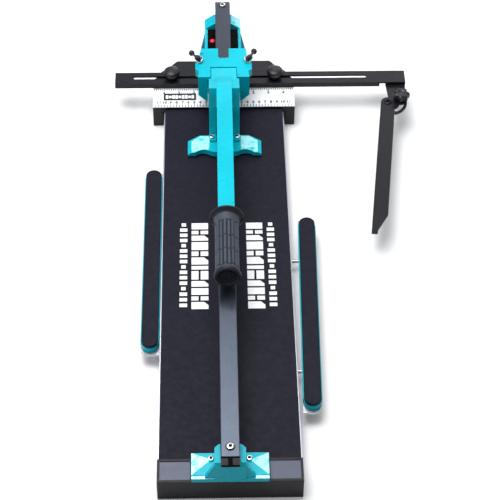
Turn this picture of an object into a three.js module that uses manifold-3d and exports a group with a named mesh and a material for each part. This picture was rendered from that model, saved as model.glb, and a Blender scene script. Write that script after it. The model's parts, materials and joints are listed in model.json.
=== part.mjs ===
// Manual tile cutter with one beam rail, a lever carriage, a sliding fence with a swinging stop
// and two pull-out side supports. Millimetres, +Z up, the rail runs along Y, the user stands at -Y.
// The origin is on the ground, in the middle of the front rubber foot.

import * as THREE from 'three';
import { mergeVertices } from 'three/addons/utils/BufferGeometryUtils.js';
import Module from 'manifold-3d';

const wasm = await Module();
wasm.setup();

// ------------------------------------------------------------------ driving sizes

const fit = 0.3;       // gap between pieces that sit on or beside each other
const running = 0.5;   // gap around a piece that slides or turns

const bed = { width: 202, length: 723.5, behindFence: 71.7, deck: 31.4, skin: 4, wall: 3, ground: 4 };
const cap = { depth: 38.2, height: 40.8, wall: 4, ground: 0.8, panelDepth: 1.2, panelMargin: 3.5 };
const foot = { length: 150, width: 20, height: 3.4 };
const mat = { inset: 2, thickness: 5.7 };
const ridge = { width: 6, rise: 0.5 };

const rail = { width: 25.6, height: 25, flange: 4.5, web: 6, throat: 40.6, beyondFence: 206, overhang: 2.8 };
const railBolt = { head: 5.2, headHeight: 4.5, shank: 3, depth: 24, sink: 2 };
const support = {
  width: 107, depth: 42.4, plate: 8.7, overhang: 1.3,
  post: 43, postDepth: 34, lipRise: 4, gusset: 13.5, gussetThickness: 6,
};
const smallBolt = { head: 4.2, headHeight: 3.4, shank: 2.5, depth: 12 };

const fence = {
  beyondBed: 19, deckDepth: 110, shoulder: 61, rearWidth: 160, rulerDepth: 50, rulerThickness: 1.5,
  step: 9, legGap: 2.5, floor: 0.8,
};
const bar = {
  left: 185, right: 267, end: 311, depth: 30, thickness: 3, lip: 9.3, lipThickness: 3,
  slot: 7, slotLeft: 154, slotRight: 245, tabReach: 49, tabWidth: 34, tabDrop: 6, tabTaper: 4, guide: 6,
};
const knob = { radius: 13.5, neck: 8.5, height: 17.7, neckHeight: 5, stud: 3, spread: 88 };
const stop = {
  width: 24, length: 301, thickness: 2.5, flange: 11, lean: 7.2, slotRadius: 23.5, slotWidth: 7,
  rim: 5, slotFrom: -52, slotTo: 33, studAngle: 17.3, tipCut: 34, tipWidth: 10,
};
const stopPin = { fromEnd: 33.4, ahead: 47, bore: 3.6, shank: 5, head: 6.6, headHeight: 1.6, lug: 10 };
const stopKnob = { radius: 14.5, lobe: 1.8, lobes: 7, height: 15, stud: 3 };

const carriage = {
  width: 85, rearWidth: 76, depth: 73.2, plate: 6, headroom: 5, wall: 8, frontWall: 7,
  skirt: 29.5, sideSkirt: 15.7,
  pivotFromFront: 10.2, notch: 18, notchDepth: 24.5, notchCorner: 4, earReach: 7, earLength: 30, earFront: 6,
  boltSeat: 1.5, grub: 1.8,
};
const roller = { width: 5, first: 20, pitch: 30, axle: 3, boss: 6, head: 5, headHeight: 2.2 };
const pivot = { beyondFence: 4, radius: 4, head: 6, headHeight: 3.8, hub: 11 };
const clampLever = {
  tilt: 50, screw: 4, collar: 5, hub: 4.8, hubLength: 8, arm: 2.4, reach: 26, ball: 5,
  fromSide: 5, behindPivot: 30.5, swing: { left: 60, right: 66 },
};

const lever = {
  arm: 24.8, armHeight: 14, armRise: 45.5, neck: 41.4, cheek: 11.4, cheekGap: 0.8,
  reach: 353, core: 10.8, coreLength: 98, ribStep: 2, neckDrop: 17.5, legHub: 8,
};
const grip = { length: 124, radius: 17, flange: 26, endFlange: 20, flangeThickness: 5, cone: 16 };
const wheel = { radius: 11, thickness: 5, edge: 1.2, axle: 3, behind: 18, drop: 31.2 };
const press = {
  span: 121, depth: 45, thickness: 6.9, lift: 2.2, front: 119, rise: 3.5, toe: 14, toeHeight: 4,
  bevel: 6, bevelDrop: 3.5,
};

const arm = {
  pad: 25, length: 372, padThickness: 5.4, tray: 26.2, sideRail: 28, trayHeight: 8.4, plate: 27.4,
  plateThickness: 3.6, plateExtra: 5, plateCorner: 12, rod: 3, rodSpread: 110, rodReach: 146, gap: 0.8,
};
const leftArm = { beforeFence: 332, out: 0, skew: 0 };
const rightArm = { beforeFence: 442.5, out: 8.5, skew: 1.25 };

const rearSupport = {
  footWidth: 82, behindGuide: 3, footDepth: 34, floor: 6, wall: 5, inner: 53, strap: 26, strapTop: 30,
  shoulderDrop: 11.7, wallRise: 10.5, reach: 203,
};
const laser = { length: 50, height: 13, front: 122, button: 4.6, buttonHeight: 4.5, lens: 4 };

// ------------------------------------------------------------------ levels and stations worked out from them

const matTop = bed.deck + fit + mat.thickness;
const railBottom = matTop + rail.throat;
const railTop = railBottom + rail.height;
const railMiddle = railBottom + rail.height / 2;
const halfBed = bed.width / 2;
const halfFence = halfBed + fence.beyondBed;
const halfRail = rail.width / 2;

const bedFront = cap.depth / 2;
const fenceLine = bedFront + bed.length;
const bedRear = fenceLine + bed.behindFence;
const railFront = -cap.depth / 2 - rail.overhang;
const railRear = fenceLine + rail.beyondFence;
const frontBoltY = -6.4;
const rearBoltY = fenceLine + rearSupport.reach - 6;

const supportBottom = cap.height + fit;
const supportTop = supportBottom + support.plate;
const supportFront = -cap.depth / 2 - support.overhang;
const supportBolt = { x: support.post / 2 + smallBolt.head + 0.8, y: supportFront + 31.8 };

const fenceBottom = bed.deck + fit;
const rulerBottom = bed.deck + 9.9;
const fenceFrontTop = rulerBottom - fit;
const fenceDeckTop = fenceFrontTop + fence.step;
const barBottom = fenceDeckTop + fit;
const barTop = barBottom + bar.thickness;
const barFront = fenceLine + fence.rulerDepth - bar.lipThickness;
const barRear = barFront + bar.depth;
const rearFootFront = barRear + bar.guide + rearSupport.behindGuide - fenceLine;
const slotY = barFront + bar.depth * 0.55;
const tabTop = barTop - bar.tabDrop;
const stopBottom = tabTop + fit;
const stopPlace = [bar.end - stopPin.fromEnd, barFront - stopPin.ahead];
const stopStud = [
  stopPlace[0] + stop.slotRadius * Math.cos(THREE.MathUtils.degToRad(stop.studAngle)),
  stopPlace[1] + stop.slotRadius * Math.sin(THREE.MathUtils.degToRad(stop.studAngle)),
];

const cheekInner = halfRail + lever.cheekGap;
const cheekOuter = cheekInner + lever.cheek;
const pivotY = fenceLine + pivot.beyondFence;
const plateTop = rail.height / 2 + carriage.headroom + carriage.plate;
const carriageFront = -carriage.pivotFromFront;
const carriageRear = carriageFront + carriage.depth;
const halfCarriage = carriage.width / 2;
const rollerRadius = rail.height / 2 - rail.flange - fit;
const rollerInner = rail.web / 2 + 3.4;
const rollerStations = [roller.first, roller.first + roller.pitch];

const rodZ = bed.deck - 15;
const armPlateBottom = matTop - arm.padThickness - arm.trayHeight - arm.plateThickness - 2 * fit;

// ------------------------------------------------------------------ solids from three.js geometry

function solidOf(geometry, matrix) {
  const bare = geometry.clone();
  bare.deleteAttribute('normal');
  bare.deleteAttribute('uv');
  if (matrix) bare.applyMatrix4(matrix);
  const merged = mergeVertices(bare, 1e-4);
  return new wasm.Manifold(new wasm.Mesh({
    numProp: 3,
    vertProperties: new Float32Array(merged.attributes.position.array),
    triVerts: new Uint32Array(merged.index.array),
  }));
}

function geometryOf(solid) {
  const mesh = solid.getMesh();
  const geometry = new THREE.BufferGeometry();
  geometry.setAttribute('position', new THREE.BufferAttribute(new Float32Array(mesh.vertProperties), 3));
  geometry.setIndex(new THREE.BufferAttribute(new Uint32Array(mesh.triVerts), 1));
  geometry.computeVertexNormals();
  return geometry;
}

// A block given by its span along each axis.
function block([x0, x1], [y0, y1], [z0, z1]) {
  const geometry = new THREE.BoxGeometry(x1 - x0, y1 - y0, z1 - z0);
  const matrix = new THREE.Matrix4().makeTranslation((x0 + x1) / 2, (y0 + y1) / 2, (z0 + z1) / 2);
  return solidOf(geometry, matrix);
}

function outline(points) {
  return new THREE.Shape(points.map(([u, v]) => new THREE.Vector2(u, v)));
}

function extruded(shape, depth, matrix) {
  const geometry = new THREE.ExtrudeGeometry(shape, { depth, bevelEnabled: false, curveSegments: 7 });
  return solidOf(geometry, matrix);
}

// A plan outline (x, y) raised from z0 to z1.
function planSlab(shape, [z0, z1]) {
  return extruded(shape, z1 - z0, new THREE.Matrix4().makeTranslation(0, 0, z0));
}

// A side outline (y, z) spread from x0 to x1.
function sideSlab(points, [x0, x1]) {
  const turn = new THREE.Matrix4().makeBasis(
    new THREE.Vector3(0, 1, 0), new THREE.Vector3(0, 0, 1), new THREE.Vector3(1, 0, 0));
  turn.setPosition(x0, 0, 0);
  return extruded(outline(points), x1 - x0, turn);
}

// A front outline (x, z) spread from y0 to y1.
function frontSlab(points, [y0, y1]) {
  const turn = new THREE.Matrix4().makeBasis(
    new THREE.Vector3(1, 0, 0), new THREE.Vector3(0, 0, 1), new THREE.Vector3(0, -1, 0));
  turn.setPosition(0, y1, 0);
  return extruded(outline(points), y1 - y0, turn);
}

// A round bar along x, y or z, from one station to another, centred on the other two coordinates.
function rod(axis, radius, [from, to], [a, b], sides = 18) {
  const geometry = new THREE.CylinderGeometry(radius, radius, to - from, sides);
  const middle = (from + to) / 2;
  const matrix = new THREE.Matrix4();
  if (axis === 'x') matrix.makeRotationZ(-Math.PI / 2).setPosition(middle, a, b);
  if (axis === 'y') matrix.setPosition(a, middle, b);
  if (axis === 'z') matrix.makeRotationX(Math.PI / 2).setPosition(a, b, middle);
  return solidOf(geometry, matrix);
}

// A turned piece: profile of (radius, height) points, closed on itself or on the axis, along z.
function turned(profile, sides = 24) {
  const points = profile.map(([r, h]) => new THREE.Vector2(r, h));
  const geometry = new THREE.LatheGeometry(points, sides);
  return solidOf(geometry, new THREE.Matrix4().makeRotationX(Math.PI / 2));
}

// A plan outline with round ends, its long side along y.
function stadium(width, length) {
  const r = width / 2;
  const straight = length / 2 - r;
  const shape = new THREE.Shape();
  shape.moveTo(r, -straight);
  shape.lineTo(r, straight);
  shape.absarc(0, straight, r, 0, Math.PI, false);
  shape.lineTo(-r, -straight);
  shape.absarc(0, -straight, r, Math.PI, 2 * Math.PI, false);
  return shape;
}

function joined(...solids) {
  return solids.reduce((whole, piece) => whole.add(piece));
}

function cut(body, ...tools) {
  return tools.reduce((whole, tool) => whole.subtract(tool), body);
}

function moved(solid, x, y, z) {
  return solidOf(geometryOf(solid), new THREE.Matrix4().makeTranslation(x, y, z));
}

function mirrored(points) {
  return points.map(([u, v]) => [-u, v]).reverse();
}

// ------------------------------------------------------------------ finishes

const finishes = {
  teal: { color: 0x05b4c6, roughness: 0.35, metalness: 0.1 },
  blackPaint: { color: 0x1d1e22, roughness: 0.5, metalness: 0.1 },
  blackPlastic: { color: 0x17181b, roughness: 0.45, metalness: 0 },
  matFoam: { color: 0x232429, roughness: 0.85, metalness: 0 },
  rubber: { color: 0x34373c, roughness: 0.8, metalness: 0 },
  aluminium: { color: 0x9a9ca4, roughness: 0.35, metalness: 0.9 },
  steel: { color: 0xc8cad0, roughness: 0.25, metalness: 1 },
  carbide: { color: 0x8d9095, roughness: 0.3, metalness: 1 },
  white: { color: 0xf2f3f5, roughness: 0.5, metalness: 0 },
  red: { color: 0xd22630, roughness: 0.4, metalness: 0 },
  lens: { color: 0x5a1015, roughness: 0.1, metalness: 0 },
};

function place(group, name, solid, finish) {
  const mesh = new THREE.Mesh(geometryOf(solid), new THREE.MeshStandardMaterial(finishes[finish]));
  mesh.name = name;
  group.add(mesh);
  return mesh;
}

// ------------------------------------------------------------------ base

// Channel that carries everything: deck, two side walls with lips, and two ribs that guide the support rods.
function baseFrame() {
  const length = [bedFront + fit, bedRear - fit];
  const lip = 12;
  const rib = { x: 40, thickness: 3 };
  const under = bed.deck - bed.skin;
  const deck = block([-halfBed, halfBed], length, [under, bed.deck]);
  const walls = [-1, 1].flatMap((side) => {
    const span = (a, b) => (side < 0 ? [-b, -a] : [a, b]);
    return [
      block(span(halfBed - bed.wall, halfBed), length, [bed.ground, bed.deck]),
      block(span(halfBed - lip, halfBed), length, [bed.ground, bed.ground + bed.wall]),
      block(span(rib.x - rib.thickness / 2, rib.x + rib.thickness / 2), length, [bed.ground, bed.deck]),
    ];
  });
  const bores = [leftArm, rightArm].flatMap(({ beforeFence }) => [-1, 1].map((end) => {
    const y = fenceLine - beforeFence + end * arm.rodSpread;
    return rod('x', arm.rod + running, [-halfBed - 1, halfBed + 1], [y, rodZ], 10);
  }));
  return cut(joined(deck, ...walls), ...bores);
}

// Moulded cap over an end of the channel, open below, with a groove for the rubber foot.
function endCap(rear) {
  const top = rear ? bed.deck : cap.height;
  const span = [-cap.depth / 2, cap.depth / 2];
  const shell = block([-halfBed, halfBed], span, [cap.ground, top]);
  const pocketDepth = cap.depth / 2 - foot.width / 2 - fit - cap.wall;
  const pocketWidth = halfBed - cap.wall;
  const groove = block([-foot.length / 2 - fit, foot.length / 2 + fit],
    [-foot.width / 2 - fit, foot.width / 2 + fit], [0, foot.height + fit]);
  const pockets = [-1, 1].map((end) => {
    const near = end * (foot.width / 2 + fit + cap.wall / 2);
    const far = end * (foot.width / 2 + fit + cap.wall / 2 + pocketDepth - cap.wall / 2);
    const depth = [Math.min(near, far), Math.max(near, far)];
    return block([-pocketWidth, pocketWidth], depth, [0, top - cap.wall]);
  });
  const panelInner = support.width / 2 + 1.6;
  const panels = rear ? [] : [-1, 1].map((side) => {
    const edges = [side * panelInner, side * (halfBed - cap.panelMargin)].sort((a, b) => a - b);
    const depth = [span[0] + cap.panelMargin, span[1] - cap.panelMargin];
    return block(edges, depth, [top - cap.panelDepth, top + 1]);
  });
  const screws = rear ? [] : supportScrewHoles(cap.ground - 1, top + 1);
  return cut(shell, groove, ...pockets, ...panels, ...screws);
}

function supportScrewHoles(z0, z1) {
  return [-1, 1].map((side) => rod('z', smallBolt.shank + fit, [z0, z1],
    [side * supportBolt.x, supportBolt.y], 16));
}

function rubberFoot() {
  return block([-foot.length / 2, foot.length / 2], [-foot.width / 2, foot.width / 2], [0, foot.height]);
}

function matHalf(side) {
  const edges = [side * (ridge.width / 2 + fit), side * (halfBed - mat.inset)].sort((a, b) => a - b);
  return block(edges, [bedFront + fit, fenceLine - fit], [bed.deck + fit, matTop]);
}

function breakingRidge() {
  const top = matTop + ridge.rise;
  const half = ridge.width / 2;
  const points = [
    [-half, bed.deck + fit], [half, bed.deck + fit], [half, top - 1], [1, top], [-1, top], [-half, top - 1],
  ];
  return frontSlab(points, [bedFront + fit, fenceLine - fit]);
}

// ------------------------------------------------------------------ rail and its supports

function railBeam() {
  const chamfer = 0.9;
  const web = rail.web / 2;
  const low = railBottom;
  const high = railTop;
  const right = [
    [halfRail - chamfer, low], [halfRail, low + chamfer], [halfRail, low + rail.flange],
    [web + 1, low + rail.flange], [web, low + rail.flange + 1],
    [web, high - rail.flange - 1], [web + 1, high - rail.flange],
    [halfRail, high - rail.flange], [halfRail, high - chamfer], [halfRail - chamfer, high],
  ];
  const beam = frontSlab([...right, ...mirrored(right)], [railFront, railRear]);
  const holes = [frontBoltY, rearBoltY].flatMap((y) => [
    rod('z', railBolt.shank + fit, [low - 1, high + 1], [0, y], 10),
    rod('z', railBolt.head + 1, [high - railBolt.sink, high + 1], [0, y]),
  ]);
  return cut(beam, ...holes);
}

function railScrew(y) {
  const seat = railTop - railBolt.sink + fit;
  const head = rod('z', railBolt.head, [seat, seat + railBolt.headHeight], [0, y]);
  const shank = rod('z', railBolt.shank, [railBottom - railBolt.depth / 2, seat], [0, y], 10);
  const headTop = seat + railBolt.headHeight;
  const socket = rod('z', railBolt.head * 0.5, [headTop - 2.5, headTop + 1], [0, y], 6);
  return cut(joined(head, shank), socket);
}

function smallScrew(x, y, seat) {
  const top = seat + smallBolt.headHeight;
  const head = rod('z', smallBolt.head, [seat, top], [x, y], 14);
  const shank = rod('z', smallBolt.shank, [seat - smallBolt.depth, seat], [x, y], 12);
  const socket = rod('z', smallBolt.head * 0.5, [top - 2, top + 1], [x, y], 6);
  return cut(joined(head, shank), socket);
}

function frontRailSupport() {
  const rear = supportFront + support.depth;
  const half = support.width / 2;
  const step = 1.2;
  const margin = 5.5;
  const plate = block([-half, half], [supportFront, rear], [supportBottom, supportTop - step]);
  const pad = block([-half, half], [supportFront + margin, rear], [supportTop - 2 * step, supportTop]);
  const halfPost = support.post / 2;
  const corner = 6;
  const postRear = supportFront + support.postDepth;
  const postTop = railBottom + support.lipRise;
  const post = planSlab(outline([
    [-halfPost, supportFront], [halfPost, supportFront], [halfPost, postRear - corner],
    [halfPost - corner, postRear], [-halfPost + corner, postRear], [-halfPost, postRear - corner],
  ]), [supportBottom, postTop]);
  const slopedFront = sideSlab([
    [supportFront - 1, railBottom - fit - 3], [supportFront + 3, railBottom - fit + support.lipRise],
    [supportFront + 3, postTop + 1], [supportFront - 1, postTop + 1],
  ], [-halfPost - 1, halfPost + 1]);
  const seat = block([-halfRail - fit, halfRail + fit], [supportFront - 1, postRear + 1],
    [railBottom - fit, postTop + 1]);
  const gussetY = [supportFront + 1.5, supportFront + 1.5 + support.gussetThickness];
  const gusset = [
    [halfPost - 1, supportTop - 3], [halfPost + support.gusset, supportTop - 3],
    [halfPost + support.gusset, supportTop], [halfPost, postTop - 4], [halfPost - 1, postTop - 4],
  ];
  const gussets = [frontSlab(gusset, gussetY), frontSlab(mirrored(gusset), gussetY)];
  const drill = rod('z', railBolt.shank + fit, [supportBottom - 1, postTop + 1], [0, frontBoltY], 10);
  return cut(joined(plate, pad, cut(post, slopedFront), ...gussets), seat, drill,
    ...supportScrewHoles(supportBottom - 1, supportTop + 1));
}

// Bracket on the fence casting that reaches back to the end of the rail, with a tray for the laser.
const rearFloor = fenceDeckTop + fit;
const rearFloorTop = rearFloor + rearSupport.floor;

function rearRailSupport() {
  const at = (distance) => fenceLine + distance;
  const half = rearSupport.footWidth / 2;
  const inner = rearSupport.inner / 2;
  const outer = inner + rearSupport.wall;
  const strapFront = at(rearSupport.reach - rearSupport.strap);
  const strapTop = railBottom - fit;
  const shoulder = strapTop - rearSupport.shoulderDrop;
  const footRear = at(rearFootFront + rearSupport.footDepth);
  const floor = planSlab(outline([
    [-half, at(rearFootFront)], [half, at(rearFootFront)], [half, footRear],
    [outer, strapFront + 2], [-outer, strapFront + 2], [-half, footRear],
  ]), [rearFloor, rearFloorTop]);
  const walls = [-1, 1].map((side) => {
    const edges = [side * inner, side * outer].sort((a, b) => a - b);
    return sideSlab([
      [at(rearFootFront + 14), rearFloor], [strapFront + 2, rearFloor],
      [strapFront + 2, rearFloorTop + rearSupport.wallRise],
      [footRear, rearFloorTop + rearSupport.wallRise], [at(rearFootFront + 14), rearFloorTop],
    ], edges);
  });
  const strap = frontSlab([
    [-outer, rearFloor], [outer, rearFloor], [outer, shoulder], [rearSupport.strapTop / 2, strapTop],
    [-rearSupport.strapTop / 2, strapTop], [-outer, shoulder],
  ], [strapFront, at(rearSupport.reach)]);
  const hollow = frontSlab([
    [-inner, rearFloor - 1], [inner, rearFloor - 1], [inner, shoulder - 5],
    [rearSupport.strapTop / 2 + 2, strapTop - 8], [-rearSupport.strapTop / 2 - 2, strapTop - 8],
    [-inner, shoulder - 5],
  ], [strapFront - 1, at(rearSupport.reach) - 9]);
  const drill = rod('z', railBolt.shank + fit, [rearFloor - 1, strapTop + 1], [0, rearBoltY], 10);
  const holes = rearBoltStations().map(([x, y]) => rod('z', smallBolt.shank + fit,
    [rearFloor - 1, rearFloorTop + 1], [x, y], 16));
  return cut(joined(floor, ...walls, cut(strap, hollow)), drill, ...holes);
}

function rearBoltStations() {
  return [-1, 1].map((side) => [side * 16, fenceLine + rearFootFront + 9]);
}

// ------------------------------------------------------------------ laser

const laserZ = rearFloorTop + fit;
const laserTop = laserZ + laser.height;
const laserFront = fenceLine + laser.front;
const buttonPlace = [-18, laserFront + 17];

function laserHousing() {
  const half = rearSupport.inner / 2 - fit;
  const body = block([-half, half], [laserFront, laserFront + laser.length], [laserZ, laserTop]);
  const well = rod('z', laser.button + fit, [laserTop - 3, laserTop + 1], buttonPlace);
  const mouth = rod('y', laser.lens + fit, [laserFront - 1, laserFront + 4],
    [0, laserZ + laser.height / 2], 16);
  const seam = block([-half - 1, half + 1], [laserFront + 30, laserFront + 30.8],
    [laserTop - 1, laserTop + 1]);
  return cut(body, well, mouth, seam);
}

function laserButton() {
  const low = laserTop - 3 + fit + 1.5;
  return moved(turned([
    [0, 0], [laser.button, 0], [laser.button, laser.buttonHeight - 1], [laser.button - 1, laser.buttonHeight],
    [0, laser.buttonHeight],
  ], 24), buttonPlace[0], buttonPlace[1], low);
}

function laserLens() {
  return rod('y', laser.lens, [laserFront + 1, laserFront + 4 - fit], [0, laserZ + laser.height / 2], 16);
}

// ------------------------------------------------------------------ fence

// Casting that straddles the bed: legs to the ground, a low shelf for the ruler and a raised deck.
function fenceBase() {
  const half = halfFence;
  const halfRear = fence.rearWidth / 2;
  const inner = halfBed + fence.legGap;
  const front = fenceLine;
  const plan = (from) => outline([
    [-half, from], [half, from], [half, front + fence.shoulder], [halfRear, front + fence.deckDepth],
    [-halfRear, front + fence.deckDepth], [-half, front + fence.shoulder],
  ]);
  const shelf = planSlab(plan(front), [fenceBottom, fenceFrontTop]);
  const deck = planSlab(plan(front + fence.rulerDepth + fit), [fenceFrontTop - 1, fenceDeckTop]);
  const guide = block([-half, half], [barRear + fit, barRear + bar.guide], [fenceDeckTop - 1, barTop]);
  const legs = [-1, 1].map((side) => {
    const edges = [side * inner, side * half].sort((a, b) => a - b);
    return block(edges, [front, front + fence.shoulder], [fence.floor, fenceFrontTop]);
  });
  const trimmed = guide.intersect(planSlab(plan(front), [fenceDeckTop - 2, barTop + 1]));
  const threads = [-1, 1].map((side) => rod('z', knob.stud + fit,
    [fenceBottom - 1, fenceDeckTop + 1], [side * knob.spread, slotY], 16));
  const rearThreads = rearBoltStations().map(([x, y]) => rod('z', smallBolt.shank + fit,
    [fenceBottom - 1, fenceDeckTop + 1], [x, y], 16));
  return cut(joined(shelf, deck, trimmed, ...legs), ...threads, ...rearThreads);
}

function rulerPlate() {
  const half = halfFence;
  return block([-half, half], [fenceLine, fenceLine + fence.rulerDepth],
    [rulerBottom, rulerBottom + fence.rulerThickness]);
}

function fenceBar() {
  const plate = block([-bar.left, bar.end], [barFront, barRear], [barBottom, barTop]);
  const lipDepth = [barFront, barFront + bar.lipThickness];
  const lip = block([-bar.left, bar.right], lipDepth, [barTop - bar.lip, barTop]);
  const tabLeft = bar.end - bar.tabWidth;
  const drop = block([tabLeft, bar.end], lipDepth, [tabTop - bar.thickness, barTop]);
  const tabFront = barFront - bar.tabReach;
  const tab = planSlab(outline([
    [tabLeft, barFront + bar.lipThickness], [tabLeft + bar.tabTaper, tabFront],
    [bar.end - 2 * bar.tabTaper, tabFront], [bar.end - bar.tabTaper, tabFront + bar.tabTaper],
    [bar.end, barFront + bar.lipThickness],
  ]), [tabTop - bar.thickness, tabTop]);
  const lug = rod('z', stopPin.lug, [tabTop - bar.thickness, tabTop], stopPlace);
  const slotShape = stadium(bar.slot, bar.slotLeft + bar.slotRight);
  const settings = { depth: bar.thickness + 2, bevelEnabled: false, curveSegments: 6 };
  const geometry = new THREE.ExtrudeGeometry(slotShape, settings);
  const lie = new THREE.Matrix4().makeRotationZ(Math.PI / 2);
  lie.setPosition((bar.slotRight - bar.slotLeft) / 2, slotY, barBottom - 1);
  const slot = solidOf(geometry, lie);
  const pinHole = rod('z', stopPin.shank + fit, [tabTop - bar.thickness - 1, tabTop + 1], stopPlace, 20);
  const studHole = rod('z', stopKnob.stud + fit, [tabTop - bar.thickness - 1, tabTop + 1], stopStud, 10);
  return cut(joined(plate, lip, drop, tab, lug), slot, pinHole, studHole);
}

// Mushroom-headed clamping knob with its stud, turned about its own axis.
function clampKnob() {
  const neckTop = knob.neckHeight;
  const shoulder = knob.height - 3;
  const head = turned([
    [0, 0], [knob.neck, 0], [knob.neck, neckTop], [knob.radius, neckTop + 3], [knob.radius, shoulder],
    [knob.radius - 2.5, knob.height - 0.5], [0, knob.height],
  ], 24);
  return joined(head, rod('z', knob.stud, [-14, 1], [0, 0], 16));
}

// ------------------------------------------------------------------ swinging stop

// Folded strip, drawn along -y from its pin: a long blade with a turned-down edge and a slotted quadrant.
function stopBlade() {
  const half = stop.width / 2;
  const end = -stop.length;
  const blade = new THREE.Shape();
  blade.moveTo(half, 0);
  blade.absarc(0, 0, half, 0, Math.PI, false);
  blade.lineTo(-half, end);
  blade.lineTo(-half + stop.tipWidth, end);
  blade.lineTo(half, end + stop.tipCut);
  const flat = planSlab(blade, [0, stop.thickness]);
  const flange = block([-half, -half + stop.thickness], [end, -half - 22],
    [stop.thickness - stop.flange, stop.thickness]);
  const tipFlange = block([-half, -half + stop.tipWidth], [end, end + stop.thickness],
    [stop.thickness - stop.flange, stop.thickness]);
  const radians = THREE.MathUtils.degToRad;
  const sector = new THREE.Shape();
  const outer = stop.slotRadius + stop.slotWidth / 2 + stop.rim;
  const inner = half - 3;
  const from = radians(stop.slotFrom - 14);
  const to = radians(stop.slotTo + 14);
  sector.absarc(0, 0, outer, from, to, false);
  sector.absarc(0, 0, inner, to, from, true);
  const slot = new THREE.Shape();
  const slotFrom = radians(stop.slotFrom);
  const slotTo = radians(stop.slotTo);
  slot.absarc(0, 0, stop.slotRadius + stop.slotWidth / 2, slotFrom, slotTo, false);
  slot.absarc(stop.slotRadius * Math.cos(slotTo), stop.slotRadius * Math.sin(slotTo), stop.slotWidth / 2,
    slotTo, slotTo + Math.PI, false);
  slot.absarc(0, 0, stop.slotRadius - stop.slotWidth / 2, slotTo, slotFrom, true);
  slot.absarc(stop.slotRadius * Math.cos(slotFrom), stop.slotRadius * Math.sin(slotFrom), stop.slotWidth / 2,
    slotFrom + Math.PI, slotFrom + 2 * Math.PI, false);
  const quadrant = planSlab(sector, [0, stop.thickness]);
  const window = planSlab(slot, [-1, stop.thickness + 1]);
  const eye = rod('z', stopPin.shank + fit, [-1, stop.thickness + 1], [0, 0], 16);
  return cut(joined(flat, flange, tipFlange, quadrant), window, eye);
}

// Hollow rivet: a flanged sleeve that holds the stop down on the bar's tab and lets it turn.
function stopRivet() {
  const seat = stop.thickness + fit;
  const top = seat + stopPin.headHeight;
  const low = -fit - bar.thickness - 1;
  return turned([
    [stopPin.bore, low], [stopPin.shank, low], [stopPin.shank, seat], [stopPin.head, seat],
    [stopPin.head - 0.8, top], [stopPin.bore, top], [stopPin.bore, low],
  ], 18);
}

// Knob with a lobed rim; the rim radius swells and shrinks as a cosine.
function lobedKnob() {
  const steps = stopKnob.lobes * 5;
  const rim = Array.from({ length: steps }, (_, i) => {
    const angle = (i / steps) * 2 * Math.PI;
    const radius = stopKnob.radius - stopKnob.lobe + stopKnob.lobe * Math.cos(stopKnob.lobes * angle);
    return [radius * Math.cos(angle), radius * Math.sin(angle)];
  });
  const neck = 3;
  const head = planSlab(outline(rim), [neck, stopKnob.height - 2]);
  const crownRim = rim.map(([x, y]) => [x * 0.86, y * 0.86]);
  const crown = planSlab(outline(crownRim), [stopKnob.height - 2.5, stopKnob.height]);
  const collar = rod('z', 8, [0, neck + 1], [0, 0]);
  const stud = rod('z', stopKnob.stud, [-12, 1], [0, 0], 10);
  return joined(head, crown, collar, stud);
}

// ------------------------------------------------------------------ side supports

// Steel plate with the two guide rods welded under it. Drawn with the bed on its right (+x), where the
// plate's corners are square.
function armSlider(skewAngle) {
  const half = arm.plate / 2;
  const end = arm.length / 2 + arm.plateExtra;
  const r = arm.plateCorner;
  const shape = new THREE.Shape();
  shape.moveTo(half, -end);
  shape.lineTo(half, end);
  shape.lineTo(-half + r, end);
  shape.absarc(-half + r, end - r, r, Math.PI / 2, Math.PI, false);
  shape.lineTo(-half, -end + r);
  shape.absarc(-half + r, -end + r, r, Math.PI, 1.5 * Math.PI, false);
  const turn = new THREE.Matrix4().makeRotationZ(THREE.MathUtils.degToRad(skewAngle));
  turn.setPosition(0, 0, armPlateBottom);
  const plate = extruded(shape, arm.plateThickness, turn);
  const rods = [-1, 1].map((end) => rod('x', arm.rod, [0, arm.rodReach], [end * arm.rodSpread, rodZ], 16));
  const posts = [-1, 1].map((place) => block([-arm.rod, arm.rod],
    [place * arm.rodSpread - arm.rod, place * arm.rodSpread + arm.rod], [rodZ, armPlateBottom + 1]));
  return joined(plate, ...rods, ...posts);
}

// Tray that holds the pad: a round-ended base with a thicker rail along each straight side.
function armTray() {
  const low = armPlateBottom + arm.plateThickness + fit;
  const high = low + arm.trayHeight;
  const straight = (arm.length - arm.pad) / 2;
  const base = planSlab(stadium(arm.tray, arm.length + arm.tray - arm.pad), [low, high]);
  const rails = block([-arm.sideRail / 2, arm.sideRail / 2], [-straight, straight], [low, high]);
  return joined(base, rails);
}

function armPad() {
  const low = matTop - arm.padThickness;
  return planSlab(stadium(arm.pad, arm.length), [low, matTop]);
}

// ------------------------------------------------------------------ carriage, drawn about the lever pivot

const boltSeat = halfCarriage - carriage.wall + carriage.boltSeat;
const leverSlotRear = 15.3;
const clampPlace = { x: halfCarriage - clampLever.fromSide, y: clampLever.behindPivot };

// Half the carriage's width at a station along it: it narrows evenly toward the rear.
function carriageHalfAt(y) {
  const share = (y - carriageFront) / carriage.depth;
  return halfCarriage - share * (carriage.width - carriage.rearWidth) / 2;
}

function carriagePlan() {
  const rearHalf = carriage.rearWidth / 2;
  return outline([
    [-halfCarriage, carriageFront], [halfCarriage, carriageFront],
    [rearHalf, carriageRear], [-rearHalf, carriageRear],
  ]);
}

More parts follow.
